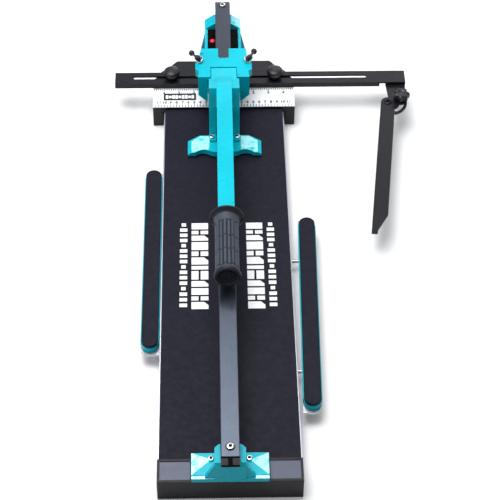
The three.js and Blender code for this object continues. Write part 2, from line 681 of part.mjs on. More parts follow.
function carriageEar(side) {
  const half = carriageHalfAt(clampPlace.y);
  const reach = half + carriage.earReach;
  const front = carriage.earFront;
  const rear = front + carriage.earLength;
  const plan = [
    [half - 3, front], [half + 2, front], [reach, front + 5],
    [reach, rear - 9], [half + 1, rear], [half - 3, rear],
  ];
  return planSlab(outline(side > 0 ? plan : mirrored(plan)), [8, plateTop - 0.5]);
}

function carriageBody() {
  const half = halfCarriage;
  const front = carriageFront;
  const rear = carriageRear;
  const under = plateTop - carriage.plate;
  const plate = block([-half, half], [front, rear], [under, plateTop]);
  const sides = [-1, 1].map((side) => block(span(side, half - carriage.wall, half), [front, rear],
    [-carriage.sideSkirt, plateTop]));
  const opening = cheekOuter + 2;
  const apron = [
    [opening, -carriage.skirt], [opening + 2, -carriage.skirt], [half, -carriage.sideSkirt],
    [half, plateTop], [opening, plateTop],
  ];
  const apronY = [front, front + carriage.frontWall];
  const aprons = [frontSlab(apron, apronY), frontSlab(mirrored(apron), apronY)];
  const rearWalls = [-1, 1].map((side) => block(span(side, halfRail + 3, half),
    [rear - carriage.wall, rear], [-carriage.sideSkirt, plateTop]));
  const bosses = [-1, 1].flatMap((side) => [
    rod('x', roller.boss + 2, span(side, cheekOuter + running, half - 3), [0, 0]),
    ...rollerStations.map((y) => rod('x', roller.boss, span(side, halfRail + running, half - 6), [y, 0])),
  ]);
  const shell = joined(plate, ...sides, ...aprons, ...rearWalls, ...bosses)
    .intersect(planSlab(carriagePlan(), [-carriage.skirt - 1, plateTop + 1]));
  const neckSlot = block([-lever.neck / 2 - 1, lever.neck / 2 + 1], [front - 1, leverSlotRear],
    [under - 1, plateTop + 1]);
  const bores = [-1, 1].flatMap((side) => [
    rod('x', pivot.radius + fit, span(side, cheekOuter - 1, half + 1), [0, 0]),
    rod('x', pivot.head + running, span(side, boltSeat, half + 1), [0, 0]),
    ...rollerStations.flatMap((y) => [
      rod('x', roller.axle + fit, span(side, halfRail - 1, half + 1), [y, 0], 10),
      rod('x', roller.head + running, span(side, boltSeat, half + 1), [y, 0]),
    ]),
    clampRod(side, clampLever.screw + fit, [-14, 12]),
  ]);
  const grub = rod('z', carriage.grub, [plateTop - 3, plateTop + 1], [-half + 6.5, rear - 13], 12);
  return cut(joined(shell, carriageEar(-1), carriageEar(1)), neckSlot, notchTool(under), grub, ...bores);
}

function span(side, from, to) {
  return side > 0 ? [from, to] : [-to, -from];
}

function notchTool(under) {
  const half = carriage.notch / 2;
  const r = carriage.notchCorner;
  const inner = carriageRear - carriage.notchDepth;
  const shape = new THREE.Shape();
  shape.moveTo(half, carriageRear + 1);
  shape.lineTo(-half, carriageRear + 1);
  shape.lineTo(-half, inner + r);
  shape.absarc(-half + r, inner + r, r, Math.PI, 1.5 * Math.PI, false);
  shape.absarc(half - r, inner + r, r, 1.5 * Math.PI, 2 * Math.PI, false);
  return planSlab(shape, [under - 1, plateTop + 1]);
}

// A round bar on a clamp screw's own axis, which leans outward from the plate's top edge.
function clampRod(side, radius, [from, to], sides = 14) {
  const lean = THREE.MathUtils.degToRad(90 - clampLever.tilt);
  const geometry = new THREE.CylinderGeometry(radius, radius, to - from, sides);
  const matrix = new THREE.Matrix4().makeTranslation(side * clampPlace.x, clampPlace.y, plateTop)
    .multiply(new THREE.Matrix4().makeRotationY(side * lean))
    .multiply(new THREE.Matrix4().makeTranslation(0, 0, (from + to) / 2))
    .multiply(new THREE.Matrix4().makeRotationX(Math.PI / 2));
  return solidOf(geometry, matrix);
}

function clampScrew(side) {
  return clampRod(side, clampLever.screw, [-9, clampLever.collar]);
}

function clampHandle(side) {
  const lean = THREE.MathUtils.degToRad(90 - clampLever.tilt);
  const swing = THREE.MathUtils.degToRad(side < 0 ? clampLever.swing.left : clampLever.swing.right);
  const start = clampLever.collar + fit;
  const end = start + clampLever.hubLength;
  const aim = new THREE.Matrix4().makeTranslation(side * clampPlace.x, clampPlace.y, plateTop)
    .multiply(new THREE.Matrix4().makeRotationY(side * lean))
    .multiply(new THREE.Matrix4().makeTranslation(0, 0, (start + end) / 2))
    .multiply(new THREE.Matrix4().makeRotationZ(side * (swing - Math.PI / 2)));
  const stem = new THREE.CylinderGeometry(clampLever.arm, clampLever.arm, clampLever.reach, 8);
  const ball = new THREE.SphereGeometry(clampLever.ball, 12, 8);
  return joined(clampRod(side, clampLever.hub, [start, end]),
    solidOf(stem, aim.clone().multiply(new THREE.Matrix4().makeTranslation(0, clampLever.reach / 2, 0))),
    solidOf(ball, aim.clone().multiply(new THREE.Matrix4().makeTranslation(0, clampLever.reach, 0))));
}

function rollerBearing(side, y) {
  const faces = span(side, rollerInner, rollerInner + roller.width);
  const bore = rod('x', roller.axle + fit, [faces[0] - 1, faces[1] + 1], [y, 0], 16);
  return cut(rod('x', rollerRadius, faces, [y, 0], 20), bore);
}

// A bolt across the carriage wall, its hexagon head sunk in the wall's outer face.
function wallBolt(side, y, size, inner) {
  const seat = boltSeat + fit;
  const head = rod('x', size.head, span(side, seat, seat + size.headHeight), [y, 0], 6);
  return joined(head, rod('x', size.shank, span(side, inner, seat + 0.5), [y, 0], 16));
}

function rollerBolt(side, y) {
  return wallBolt(side, y, { ...roller, shank: roller.axle }, rollerInner - 0.8);
}

function pivotBolt(side) {
  return wallBolt(side, 0, { ...pivot, shank: pivot.radius }, cheekInner + 0.5);
}

// ------------------------------------------------------------------ lever, drawn about its pivot

const armUnder = lever.armRise - lever.armHeight / 2;
const armTop = lever.armRise + lever.armHeight / 2;
const legBottom = matTop + press.lift + press.thickness + press.rise + fit - railMiddle;
const legFront = -85;
const footBolt = { x: cheekInner + 7.2, y: legFront - press.toe / 2 };

// One casting: two cheeks beside the rail, a neck over it, and the arm that runs forward to the grip.
function leverCasting() {
  const neckHalf = lever.neck / 2;
  const neckRoot = rail.height / 2 + 5;
  const neckTop = armTop - lever.neckDrop;
  const shoulderTop = armTop - lever.ribStep;
  const bend = -69;
  const throat = carriageFront - 14;
  const neck = sideSlab([
    [0, neckRoot], [0, neckTop - 0.5], [-26, neckTop + 1], [-34, neckTop + 3], [-34, neckRoot],
  ], [-neckHalf, neckHalf]);
  const shoulder = sideSlab([
    [-28, neckTop + 0.5], [bend, shoulderTop], [bend - 3, armUnder - 2],
    [-52, neckRoot], [throat - 2, neckRoot],
  ], [-cheekOuter, cheekOuter]);
  const rib = sideSlab([
    [-20, neckTop], [-30, neckTop + 4], [bend + 4, armTop], [-lever.reach, armTop], [-lever.reach, armUnder],
    [bend, armUnder], [-30, neckTop - 4],
  ], [-lever.arm / 2, lever.arm / 2]);
  const core = rod('y', lever.core, [-lever.reach - lever.coreLength, -lever.reach + 4], [0, lever.armRise]);
  const toeTop = legBottom + press.toeHeight;
  const cheekOutline = [
    [throat, 8], [throat - 3, neckTop - 0.5], [-28, neckTop + 0.5], [bend, shoulderTop], [legFront, toeTop],
    [legFront - press.toe, toeTop], [legFront - press.toe, legBottom],
    [-66, legBottom], [-61, -18], [-46, -7],
    [-8, -8], [0, 8],
  ];
  const wheelLeg = [
    [-10, -4], [wheel.behind - lever.legHub, -wheel.drop],
    [wheel.behind + lever.legHub, -wheel.drop], [10, 2],
  ];
  const cheeks = [-1, 1].flatMap((side) => {
    const faces = span(side, cheekInner, cheekOuter);
    return [
      sideSlab(cheekOutline, faces),
      sideSlab(wheelLeg, faces),
      rod('x', pivot.hub, faces, [0, 0], 20),
      rod('x', lever.legHub, faces, [wheel.behind, -wheel.drop], 24),
    ];
  });
  const bores = [
    rod('x', pivot.radius + fit, [-cheekOuter - 1, cheekOuter + 1], [0, 0]),
    rod('x', wheel.axle + fit, [-cheekOuter - 1, cheekOuter + 1], [wheel.behind, -wheel.drop], 10),
    ...[-1, 1].map((side) => rod('z', smallBolt.shank + fit, [legBottom - 1, toeTop + 1],
      [side * footBolt.x, footBolt.y], 16)),
  ];
  return cut(joined(shoulder, neck, rib, core, ...cheeks), ...bores);
}

function wheelAxle() {
  const [y, z] = [wheel.behind, -wheel.drop];
  const half = wheel.thickness / 2;
  const bar = rod('x', wheel.axle, [-cheekOuter - 3, cheekOuter + fit], [y, z], 10);
  const head = rod('x', 5, [cheekOuter + fit, cheekOuter + 3], [y, z]);
  const collar = rod('x', 5.5, [half + fit, cheekInner - fit], [y, z]);
  return joined(bar, head, collar);
}

function wheelSpacer() {
  const [y, z] = [wheel.behind, -wheel.drop];
  const half = wheel.thickness / 2;
  const faces = [-cheekInner + fit, -half - fit];
  const bore = rod('x', wheel.axle + fit, [faces[0] - 1, faces[1] + 1], [y, z], 16);
  return cut(rod('x', 5.5, faces, [y, z]), bore);
}

// Scoring wheel: thin disc whose rim narrows to a cutting edge.
function cuttingWheel() {
  const half = wheel.thickness / 2;
  const bore = wheel.axle + fit;
  const profile = [
    [bore, -half], [wheel.radius - 2.5, -half],
    [wheel.radius, -wheel.edge / 4], [wheel.radius, wheel.edge / 4],
    [wheel.radius - 2.5, half], [bore, half], [bore, -half],
  ];
  const disc = geometryOf(turned(profile, 28));
  const matrix = new THREE.Matrix4().makeRotationY(Math.PI / 2).setPosition(0, wheel.behind, -wheel.drop);
  return solidOf(disc, matrix);
}

// Wedge that cuts a bevel along a straight edge; the edge runs with the piece on its left.
function edgeBevel([x0, y0], [x1, y1], top) {
  const along = new THREE.Vector3(x1 - x0, y1 - y0, 0);
  const length = along.length() + 4;
  along.normalize();
  const outward = new THREE.Vector3(along.y, -along.x, 0);
  const turn = new THREE.Matrix4().makeBasis(outward, new THREE.Vector3(0, 0, 1), along.clone().negate());
  turn.setPosition(x1 + 2 * along.x, y1 + 2 * along.y, top);
  const wedge = outline([[-press.bevel, 0], [1, -press.bevelDrop - 0.6], [1, 2], [-press.bevel, 2]]);
  return extruded(wedge, length, turn);
}

// Breaking foot: one bar under the rail with a wing each side, bolted under both cheeks.
function breakingFoot() {
  const low = matTop + press.lift - railMiddle;
  const top = legBottom - fit;
  const front = -press.front - pivot.beyondFence;
  const rear = front + press.depth;
  const tip = press.span / 2;
  const waist = tip * 0.72;
  const wingRear = rear - 12;
  const plan = new THREE.Shape();
  plan.moveTo(tip, front + 2);
  plan.lineTo(tip, wingRear);
  plan.lineTo(waist, rear);
  plan.lineTo(-waist, rear);
  plan.lineTo(-tip, wingRear);
  plan.lineTo(-tip, front + 2);
  plan.lineTo(-tip * 0.8, front + 2);
  plan.quadraticCurveTo(-tip * 0.58, front + 13, -tip * 0.36, front + 2);
  plan.lineTo(-tip * 0.2, front);
  plan.lineTo(tip * 0.2, front);
  plan.lineTo(tip * 0.36, front + 2);
  plan.quadraticCurveTo(tip * 0.58, front + 13, tip * 0.8, front + 2);
  const blank = planSlab(plan, [low, top]);
  const high = low + press.thickness;
  const profile = [
    [-tip - 1, low - 1], [tip + 1, low - 1], [tip + 1, high], [cheekOuter + 2, top], [-cheekOuter - 2, top],
    [-tip - 1, high],
  ];
  const roof = frontSlab(profile, [front - 1, rear + 1]);
  const bevels = [
    edgeBevel([waist, rear], [-waist, rear], top - 0.8),
    edgeBevel([tip, wingRear], [waist, rear], high + 0.8),
    edgeBevel([-waist, rear], [-tip, wingRear], high + 0.8),
    edgeBevel([tip, front], [tip, wingRear], high + 0.2),
    edgeBevel([-tip, wingRear], [-tip, front], high + 0.2),
  ];
  const drills = [-1, 1].map((side) => rod('z', smallBolt.shank + fit, [low + 2, top + 1],
    [side * footBolt.x, footBolt.y], 16));
  return cut(blank.intersect(roof), ...bevels, ...drills);
}

// Rubber sleeve with a wide guard flange, a cone, and a smaller flange at the open end.
function gripSleeve() {
  const bore = lever.core + fit;
  const t = grip.flangeThickness;
  const profile = [
    [bore, 0], [grip.flange - 2, 0], [grip.flange, t / 2], [grip.flange - 1, t], [grip.radius + 4, t + 2],
    [grip.radius, grip.cone], [grip.radius, grip.length - 2 * t], [grip.endFlange, grip.length - t],
    [grip.endFlange, grip.length - 2], [grip.endFlange - 3, grip.length], [bore, grip.length], [bore, 0],
  ];
  const sleeve = geometryOf(turned(profile, 32));
  const matrix = new THREE.Matrix4().makeRotationX(Math.PI / 2);
  matrix.setPosition(0, -lever.reach - fit, lever.armRise);
  return solidOf(sleeve, matrix);
}

// ------------------------------------------------------------------ assembly

const tileCutter = new THREE.Group();

function buildBase() {
  const base = new THREE.Group();
  const rearCapY = bedRear + cap.depth / 2;
  place(base, 'base_frame', baseFrame(), 'aluminium');
  place(base, 'front_end_cap', endCap(false), 'blackPlastic');
  place(base, 'rear_end_cap', endCap(true), 'blackPlastic').position.y = rearCapY;
  place(base, 'front_rubber_foot', rubberFoot(), 'rubber');
  place(base, 'rear_rubber_foot', rubberFoot(), 'rubber').position.y = rearCapY;
  place(base, 'left_mat', matHalf(-1), 'matFoam');
  place(base, 'right_mat', matHalf(1), 'matFoam');
  place(base, 'breaking_ridge', breakingRidge(), 'steel');
  place(base, 'front_rail_support', frontRailSupport(), 'teal');
  place(base, 'rear_rail_support', rearRailSupport(), 'teal');
  place(base, 'rail', railBeam(), 'aluminium');
  place(base, 'front_rail_bolt', railScrew(frontBoltY), 'steel');
  place(base, 'rear_rail_bolt', railScrew(rearBoltY), 'steel');
  for (const [side, word] of [[-1, 'left'], [1, 'right']]) {
    const screw = smallScrew(side * supportBolt.x, supportBolt.y, supportTop + fit);
    place(base, `front_support_bolt_${word}`, screw, 'steel');
  }
  rearBoltStations().forEach(([x, y], i) => {
    place(base, `rear_support_bolt_${['left', 'right'][i]}`, smallScrew(x, y, rearFloorTop + fit), 'steel');
  });
  place(base, 'laser_housing', laserHousing(), 'blackPlastic');
  place(base, 'laser_lens', laserLens(), 'lens');
  place(base, 'laser_button', laserButton(), 'red');
  place(base, 'fence_base', fenceBase(), 'blackPaint');
  place(base, 'ruler', rulerPlate(), 'white');
  return base;
}

function buildFenceBar() {
  const group = new THREE.Group();
  place(group, 'fence_bar', fenceBar(), 'blackPaint');
  for (const [side, word] of [[-1, 'left'], [1, 'right']]) {
    place(group, `fence_knob_${word}`, clampKnob(), 'blackPlastic')
      .position.set(side * knob.spread, slotY, barTop + fit);
  }
  const blade = place(group, 'stop_arm', stopBlade(), 'blackPaint');
  blade.position.set(...stopPlace, stopBottom);
  blade.rotation.z = THREE.MathUtils.degToRad(-stop.lean);
  place(group, 'stop_pivot_rivet', stopRivet(), 'blackPaint').position.set(...stopPlace, stopBottom);
  place(group, 'stop_knob', lobedKnob(), 'blackPlastic')
    .position.set(...stopStud, stopBottom + stop.thickness + fit);
  return group;
}

function buildSideSupport(word, side, settings) {
  const group = new THREE.Group();
  const skew = THREE.MathUtils.degToRad(settings.skew);
  const middle = halfBed + arm.gap + arm.plate / 2 + settings.out;
  group.position.set(side * middle, fenceLine - settings.beforeFence, 0);
  const slider = armSlider(-side * settings.skew);
  place(group, `${word}_support_slider`, slider, 'steel').rotation.z = side > 0 ? Math.PI : 0;
  place(group, `${word}_support_tray`, armTray(), 'teal').rotation.z = -side * skew;
  place(group, `${word}_support_pad`, armPad(), 'rubber').rotation.z = -side * skew;
  return group;
}

function buildCarriage() {
  const group = new THREE.Group();
  group.position.set(0, pivotY, railMiddle);
  place(group, 'carriage_body', carriageBody(), 'teal');
  for (const [side, word] of [[-1, 'left'], [1, 'right']]) {
    rollerStations.forEach((y, i) => {
      const station = ['front', 'rear'][i];
      place(group, `roller_${word}_${station}`, rollerBearing(side, y), 'steel');
      place(group, `roller_bolt_${word}_${station}`, rollerBolt(side, y), 'steel');
    });
    place(group, `pivot_bolt_${word}`, pivotBolt(side), 'steel');
    place(group, `clamp_screw_${word}`, clampScrew(side), 'steel');
    place(group, `clamp_lever_${word}`, clampHandle(side), 'blackPlastic');
  }
  return group;
}

function buildLever() {
  const group = new THREE.Group();
  group.position.set(0, pivotY, railMiddle);
  place(group, 'lever', leverCasting(), 'teal');
  place(group, 'grip', gripSleeve(), 'rubber');
  place(group, 'wheel_axle', wheelAxle(), 'steel');
  place(group, 'wheel_spacer', wheelSpacer(), 'steel');
  place(group, 'cutting_wheel', cuttingWheel(), 'carbide');
  place(group, 'breaking_foot', breakingFoot(), 'teal');
  for (const [side, word] of [[-1, 'left'], [1, 'right']]) {
    const screw = smallScrew(side * footBolt.x, footBolt.y, legBottom + press.toeHeight + fit);
    place(group, `foot_bolt_${word}`, screw, 'steel');
  }
  return group;
}

tileCutter.add(buildBase(), buildFenceBar(), buildCarriage(), buildLever(),
  buildSideSupport('left', -1, leftArm), buildSideSupport('right', 1, rightArm));

export default tileCutter;
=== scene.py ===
import json
import math

import bmesh
import bpy
from mathutils import Matrix, Vector


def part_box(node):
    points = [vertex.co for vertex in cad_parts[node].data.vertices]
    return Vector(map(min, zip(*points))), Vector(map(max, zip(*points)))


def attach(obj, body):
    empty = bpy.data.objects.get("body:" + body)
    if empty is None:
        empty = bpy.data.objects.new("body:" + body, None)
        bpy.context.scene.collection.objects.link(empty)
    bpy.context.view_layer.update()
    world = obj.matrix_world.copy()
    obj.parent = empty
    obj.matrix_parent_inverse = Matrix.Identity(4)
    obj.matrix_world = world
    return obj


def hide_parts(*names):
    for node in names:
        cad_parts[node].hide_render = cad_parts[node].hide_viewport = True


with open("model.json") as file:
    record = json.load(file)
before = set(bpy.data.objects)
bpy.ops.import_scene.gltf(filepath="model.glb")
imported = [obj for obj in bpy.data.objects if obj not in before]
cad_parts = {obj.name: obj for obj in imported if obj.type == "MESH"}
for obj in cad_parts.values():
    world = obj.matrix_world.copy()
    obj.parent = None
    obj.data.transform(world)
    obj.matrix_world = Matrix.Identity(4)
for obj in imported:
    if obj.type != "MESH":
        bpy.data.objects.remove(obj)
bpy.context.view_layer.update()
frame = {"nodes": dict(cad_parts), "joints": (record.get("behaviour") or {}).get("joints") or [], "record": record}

MM = 0.001
STUD_RADIUS = 2.95


# ---------------------------------------------------------------- places taken from the frame

def low_high(node):
    low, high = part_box(node)
    return Vector(low), Vector(high)


def middle(node):
    low, high = low_high(node)
    return (low + high) / 2


def body_of(node):
    bodies = frame["record"]["behaviour"]["bodies"]
    return next(name for name, nodes in bodies.items() if node in nodes)


def slot_of(node):
    return next(part["material_slot"] for part in frame["record"]["subparts"] if part["node"] == node)


# ---------------------------------------------------------------- node-based materials

class Shader:
    """A principled material with short helpers for the nodes that feed it. Lengths are in metres."""

    def __init__(self, name, color, roughness, metallic=0.0, coat=0.0, coat_roughness=0.1, specular=0.5):
        self.material = bpy.data.materials.new(name)
        self.material.use_nodes = True
        self.nodes = self.material.node_tree.nodes
        self.links = self.material.node_tree.links
        self.surface = self.nodes["Principled BSDF"]
        self.surface.inputs["Base Color"].default_value = (*color, 1)
        self.surface.inputs["Roughness"].default_value = roughness
        self.surface.inputs["Metallic"].default_value = metallic
        self.surface.inputs["Coat Weight"].default_value = coat
        self.surface.inputs["Coat Roughness"].default_value = coat_roughness
        self.surface.inputs["Specular IOR Level"].default_value = specular
        self.material.diffuse_color = (*color, 1)
        self.place = self.nodes.new("ShaderNodeTexCoord").outputs["Object"]
        self.height = None

    def stretched(self, scale):
        """The piece's own coordinates, scaled along each axis."""
        mapping = self.nodes.new("ShaderNodeMapping")
        mapping.inputs["Scale"].default_value = scale
        self.links.new(self.place, mapping.inputs["Vector"])
        return mapping.outputs["Vector"]

    def noise(self, size, detail=2.0, roughness=0.5, stretch=(1, 1, 1)):
        """Soft noise whose features are about size across."""
        texture = self.nodes.new("ShaderNodeTexNoise")
        texture.inputs["Scale"].default_value = 1 / size
        texture.inputs["Detail"].default_value = detail
        texture.inputs["Roughness"].default_value = roughness
        self.links.new(self.stretched(stretch), texture.inputs["Vector"])
        return texture.outputs["Fac"]

    def cells(self, size):
        """Rounded cells about size across."""
        texture = self.nodes.new("ShaderNodeTexVoronoi")
        texture.inputs["Scale"].default_value = 1 / size
        self.links.new(self.stretched((1, 1, 1)), texture.inputs["Vector"])
        return texture.outputs["Distance"]

    def ranged(self, value, low, high, to_low, to_high):
        """The value's span from low to high, laid onto the span from to_low to to_high."""
        node = self.nodes.new("ShaderNodeMapRange")
        limits = {"From Min": low, "From Max": high, "To Min": to_low, "To Max": to_high}
        for name, number in limits.items():
            node.inputs[name].default_value = number
        self.links.new(value, node.inputs["Value"])
        return node.outputs["Result"]

    def mixed(self, factor, first, second):
        """First where the factor is 0, second where it is 1. Each is a colour or an output."""
        node = self.nodes.new("ShaderNodeMix")
        node.data_type = "RGBA"
        self.links.new(factor, node.inputs["Factor"])
        for socket, value in ((node.inputs["A"], first), (node.inputs["B"], second)):
            if isinstance(value, tuple):
                socket.default_value = (*value, 1)
            else:
                self.links.new(value, socket)
        return node.outputs["Result"]

    def added(self, first, second, scale):
        """First plus scale times second."""
        node = self.nodes.new("ShaderNodeMath")
        node.operation = "MULTIPLY_ADD"
        self.links.new(second, node.inputs[0])
        node.inputs[1].default_value = scale
        self.links.new(first, node.inputs[2])
        return node.outputs["Value"]

    def color(self, output):
        self.links.new(output, self.surface.inputs["Base Color"])

    def roughness(self, output):
        self.links.new(output, self.surface.inputs["Roughness"])

    def bump(self, output, distance, strength):
        """Relief of this depth, laid over the relief that is there already."""
        node = self.nodes.new("ShaderNodeBump")
        node.inputs["Distance"].default_value = distance
        node.inputs["Strength"].default_value = strength
        self.links.new(output, node.inputs["Height"])
        if self.height:
            self.links.new(self.height, node.inputs["Normal"])
        self.height = node.outputs["Normal"]
        self.links.new(self.height, self.surface.inputs["Normal"])


def shade(color, factor):
    """The colour made lighter or darker, with no part over 1."""
    return tuple(min(1.0, part * factor) for part in color)


def glossy_paint(name, color):
    """Thick enamel on a casting: faint cloudiness, orange peel and a few rubbed patches."""
    s = Shader(name, color, 0.3, coat=0.06, coat_roughness=0.1, specular=0.14)
    cloud = s.noise(0.06, 3)
    s.color(s.mixed(s.ranged(cloud, 0.35, 0.65, 0, 1), shade(color, 0.93), shade(color, 1.05)))
    s.roughness(s.ranged(s.noise(0.012, 4), 0.3, 0.7, 0.24, 0.36))
    s.bump(s.noise(0.0022, 1), 0.00003, 0.5)
    s.bump(s.noise(0.03, 2), 0.0002, 0.25)
    return s.material


def powder_coat(name, color, roughness):
    """Baked powder on steel or cast metal: a fine even grain with slightly rubbed areas."""
    s = Shader(name, color, roughness, specular=0.26)
    rub = s.ranged(s.noise(0.03, 5, 0.6), 0.45, 0.75, 0, 1)
    s.color(s.mixed(rub, shade(color, 0.92), shade(color, 1.22)))
    s.roughness(s.ranged(s.noise(0.01, 4), 0.3, 0.7, roughness - 0.06, roughness + 0.08))
    s.bump(s.noise(0.0007, 2), 0.00004, 0.7)
    return s.material


def moulded_plastic(name, color, roughness, specular=0.4):
    """Spark-eroded mould grain, with a soft unevenness from the moulding."""
    s = Shader(name, color, roughness, specular=specular)
    s.color(s.mixed(s.noise(0.02, 4), shade(color, 0.88), shade(color, 1.15)))
    s.roughness(s.ranged(s.noise(0.006, 3), 0.3, 0.7, roughness - 0.05, roughness + 0.07))
    s.bump(s.cells(0.0006), 0.00004, 0.5)
    return s.material


def pebbled_rubber(name, color, roughness, grain=0.0011):
    """Rubber with a pebbled skin and dusty, slightly lighter patches."""
    s = Shader(name, color, roughness, specular=0.16)
    dust = s.ranged(s.noise(0.045, 5, 0.62), 0.42, 0.78, 0, 1)
    speck = s.ranged(s.cells(grain * 2.4), 0.0, 0.55, 0, 1)
    tone = s.mixed(dust, shade(color, 0.95), shade(color, 1.14))
    s.color(s.mixed(speck, tone, shade(color, 0.95)))
    s.roughness(s.ranged(s.noise(0.008, 3), 0.3, 0.7, roughness - 0.07, roughness + 0.07))
    s.bump(s.cells(grain), 0.00009, 0.55)
    return s.material


def brushed_metal(name, color, roughness, stretch, metallic=1.0):
    """Extruded or rolled metal: fine lines along one axis and a faint mottled oxide."""
    s = Shader(name, color, roughness, metallic=metallic)
    lines = s.noise(0.0005, 3, 0.6, stretch)
    wide = s.noise(0.02, 3)
    s.color(s.mixed(s.added(lines, wide, 0.6), shade(color, 0.82), shade(color, 1.1)))
    s.roughness(s.ranged(lines, 0.3, 0.7, roughness - 0.06, roughness + 0.1))
    s.bump(lines, 0.000015, 0.5)
    return s.material


def plated_metal(name, color, roughness):
    """Zinc plating: bright, with small tonal spots and a slight grain."""
    s = Shader(name, color, roughness, metallic=1.0)
    spots = s.noise(0.004, 4, 0.6)
    s.color(s.mixed(spots, shade(color, 0.85), shade(color, 1.08)))
    s.roughness(s.ranged(spots, 0.3, 0.7, roughness - 0.05, roughness + 0.1))
    s.bump(s.noise(0.0006, 2), 0.00001, 0.6)
    return s.material


def printed_white(name, color, roughness):
    """Screen-printed or enamelled white: almost even, with faint yellowing and handling marks."""
    s = Shader(name, color, roughness, specular=0.4)
    s.color(s.mixed(s.ranged(s.noise(0.05, 5), 0.4, 0.7, 0, 1), color, shade(color, 0.94)))
    s.roughness(s.ranged(s.noise(0.01, 3), 0.3, 0.7, roughness - 0.06, roughness + 0.08))
    s.bump(s.noise(0.0012, 2), 0.000012, 0.5)
    return s.material


ALONG_Y = (1, 0.02, 1)
ALONG_X = (0.02, 1, 1)
TEAL = (0.0, 0.45, 0.56)
# Painted highlight: this pale teal stands in for the light that flat upward faces of the castings reflect.
PAINTED_HIGHLIGHT_TINT = (0.36, 0.86, 0.90)


def bright_enamel():
    """Teal enamel with a painted highlight: pale teal in patches, standing in for the light that the castings'
    upward flat faces reflect.
    """
    s = Shader("teal enamel with painted highlight", PAINTED_HIGHLIGHT_TINT, 0.18, coat=0.5, coat_roughness=0.05)
    patches = s.ranged(s.noise(0.013, 3, 0.5), 0.36, 0.5, 0, 1)
    s.color(s.mixed(patches, shade(TEAL, 1.25), PAINTED_HIGHLIGHT_TINT))
    s.roughness(s.ranged(s.noise(0.006, 3), 0.3, 0.7, 0.14, 0.26))
    s.bump(s.noise(0.009, 2), 0.0006, 0.5)
    s.bump(s.noise(0.0022, 1), 0.00003, 0.5)
    return s.material


looks = {
    "teal_paint": glossy_paint("teal enamel", TEAL),
    "black_paint": powder_coat("black powder coat", (0.0052, 0.0053, 0.0090), 0.36),
    "black_plastic": moulded_plastic("black moulded plastic", (0.010, 0.010, 0.0145), 0.32),
    "cap_plastic": moulded_plastic("end cap plastic", (0.0032, 0.0032, 0.0062), 0.42, 0.25),
    "mat_rubber": pebbled_rubber("mat rubber", (0.0058, 0.0058, 0.0150), 0.62),
    "grip_rubber": pebbled_rubber("grip rubber", (0.060, 0.071, 0.092), 0.5, 0.0008),
    "foot_rubber": pebbled_rubber("foot rubber", (0.010, 0.010, 0.011), 0.8),
    "extruded_aluminium": brushed_metal("extruded aluminium", (0.42, 0.44, 0.50), 0.38, ALONG_Y),
    "plated_steel": plated_metal("zinc plated steel", (0.74, 0.75, 0.77), 0.22),
    "wheel_carbide": brushed_metal("carbide", (0.38, 0.39, 0.42), 0.22, ALONG_X),
    "scale_white": printed_white("white scale", (0.90, 0.91, 0.92), 0.42),
    "button_red": moulded_plastic("red button plastic", (0.80, 0.012, 0.030), 0.25),
    "lens_red": moulded_plastic("lens plastic", (0.16, 0.004, 0.008), 0.08),
}
# Painted highlight: a pale teal material for upward faces, standing in for reflected light.
painted_highlight_teal = bright_enamel()
# Painted shade: a dark teal for the rear bracket's floor, standing in for the shade that falls on it.
painted_shade_teal = glossy_paint("teal enamel with painted shade", (0.0, 0.085, 0.16))
dark_anodised = brushed_metal("dark anodised aluminium", (0.064, 0.075, 0.098), 0.32, ALONG_Y)
# Painted reflection: a lighter blue-grey for the tops of the front cap's sunk panels.
panel_painted_reflection = moulded_plastic("cap panel plastic with painted reflection", (0.058, 0.070, 0.115), 0.36)
# Painted shade: darker rubber for the grip's grooves and bore.
grip_groove_shade = pebbled_rubber("grip rubber with painted shade in grooves", (0.018, 0.020, 0.028), 0.6, 0.0008)
grip_flange = pebbled_rubber("grip rubber rims", (0.017, 0.019, 0.026), 0.42, 0.0008)
deep_black = moulded_plastic("laser housing plastic", (0.0015, 0.0012, 0.0012), 0.35, 0.03)
plate_steel = plated_metal("support plate steel", (0.46, 0.47, 0.49), 0.34)
# Painted shade: near-black for the inside of the screw sockets.
socket_painted_shade = powder_coat("screw socket with painted shade", (0.006, 0.006, 0.007), 0.5)
print_white = printed_white("white print", (0.90, 0.91, 0.92), 0.55)
print_black = printed_white("black print", (0.010, 0.010, 0.012), 0.45)


# ---------------------------------------------------------------- mesh helpers

def new_piece(name, mesh, body, material, nodes=()):
    """A piece with one material that rides on a body and stands for the nodes named."""
    piece = bpy.data.objects.new(name, mesh)
    bpy.context.scene.collection.objects.link(piece)
    mesh.materials.clear()
    mesh.materials.append(material)
    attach(piece, body)
    if nodes:
        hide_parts(*nodes)
    return piece


def smooth(mesh, angle=32):
    """Shade smooth, but keep each edge sharp that turns by more than the angle in degrees."""
    for polygon in mesh.polygons:
        polygon.use_smooth = True
    mesh.set_sharp_from_angle(angle=math.radians(angle))


def stand_in(name, mesh, node, material=None):
    """A finer piece that stands for one CAD node: same body, same slot, same place."""
    slot = slot_of(node)
    return new_piece(name, mesh, body_of(node), material or looks[slot], [node])


def applied(piece):
    """Bake a piece's modifiers into its mesh."""
    graph = bpy.context.evaluated_depsgraph_get()
    mesh = bpy.data.meshes.new_from_object(piece.evaluated_get(graph))
    piece.modifiers.clear()
    old = piece.data
    piece.data = mesh
    bpy.data.meshes.remove(old)
    return piece


def cad_mesh(node):
    """A clean copy of a CAD node's mesh: shared corners welded and flat faces made whole again."""
    mesh = frame["nodes"][node].data.copy()
    mesh.transform(frame["nodes"][node].matrix_world)
    bm = bmesh.new()
    bm.from_mesh(mesh)
    bmesh.ops.remove_doubles(bm, verts=bm.verts, dist=2e-6)
    bmesh.ops.dissolve_limit(bm, angle_limit=math.radians(0.6), verts=bm.verts, edges=bm.edges,
                             use_dissolve_boundaries=False)
    bm.to_mesh(mesh)
    bm.free()
    return mesh


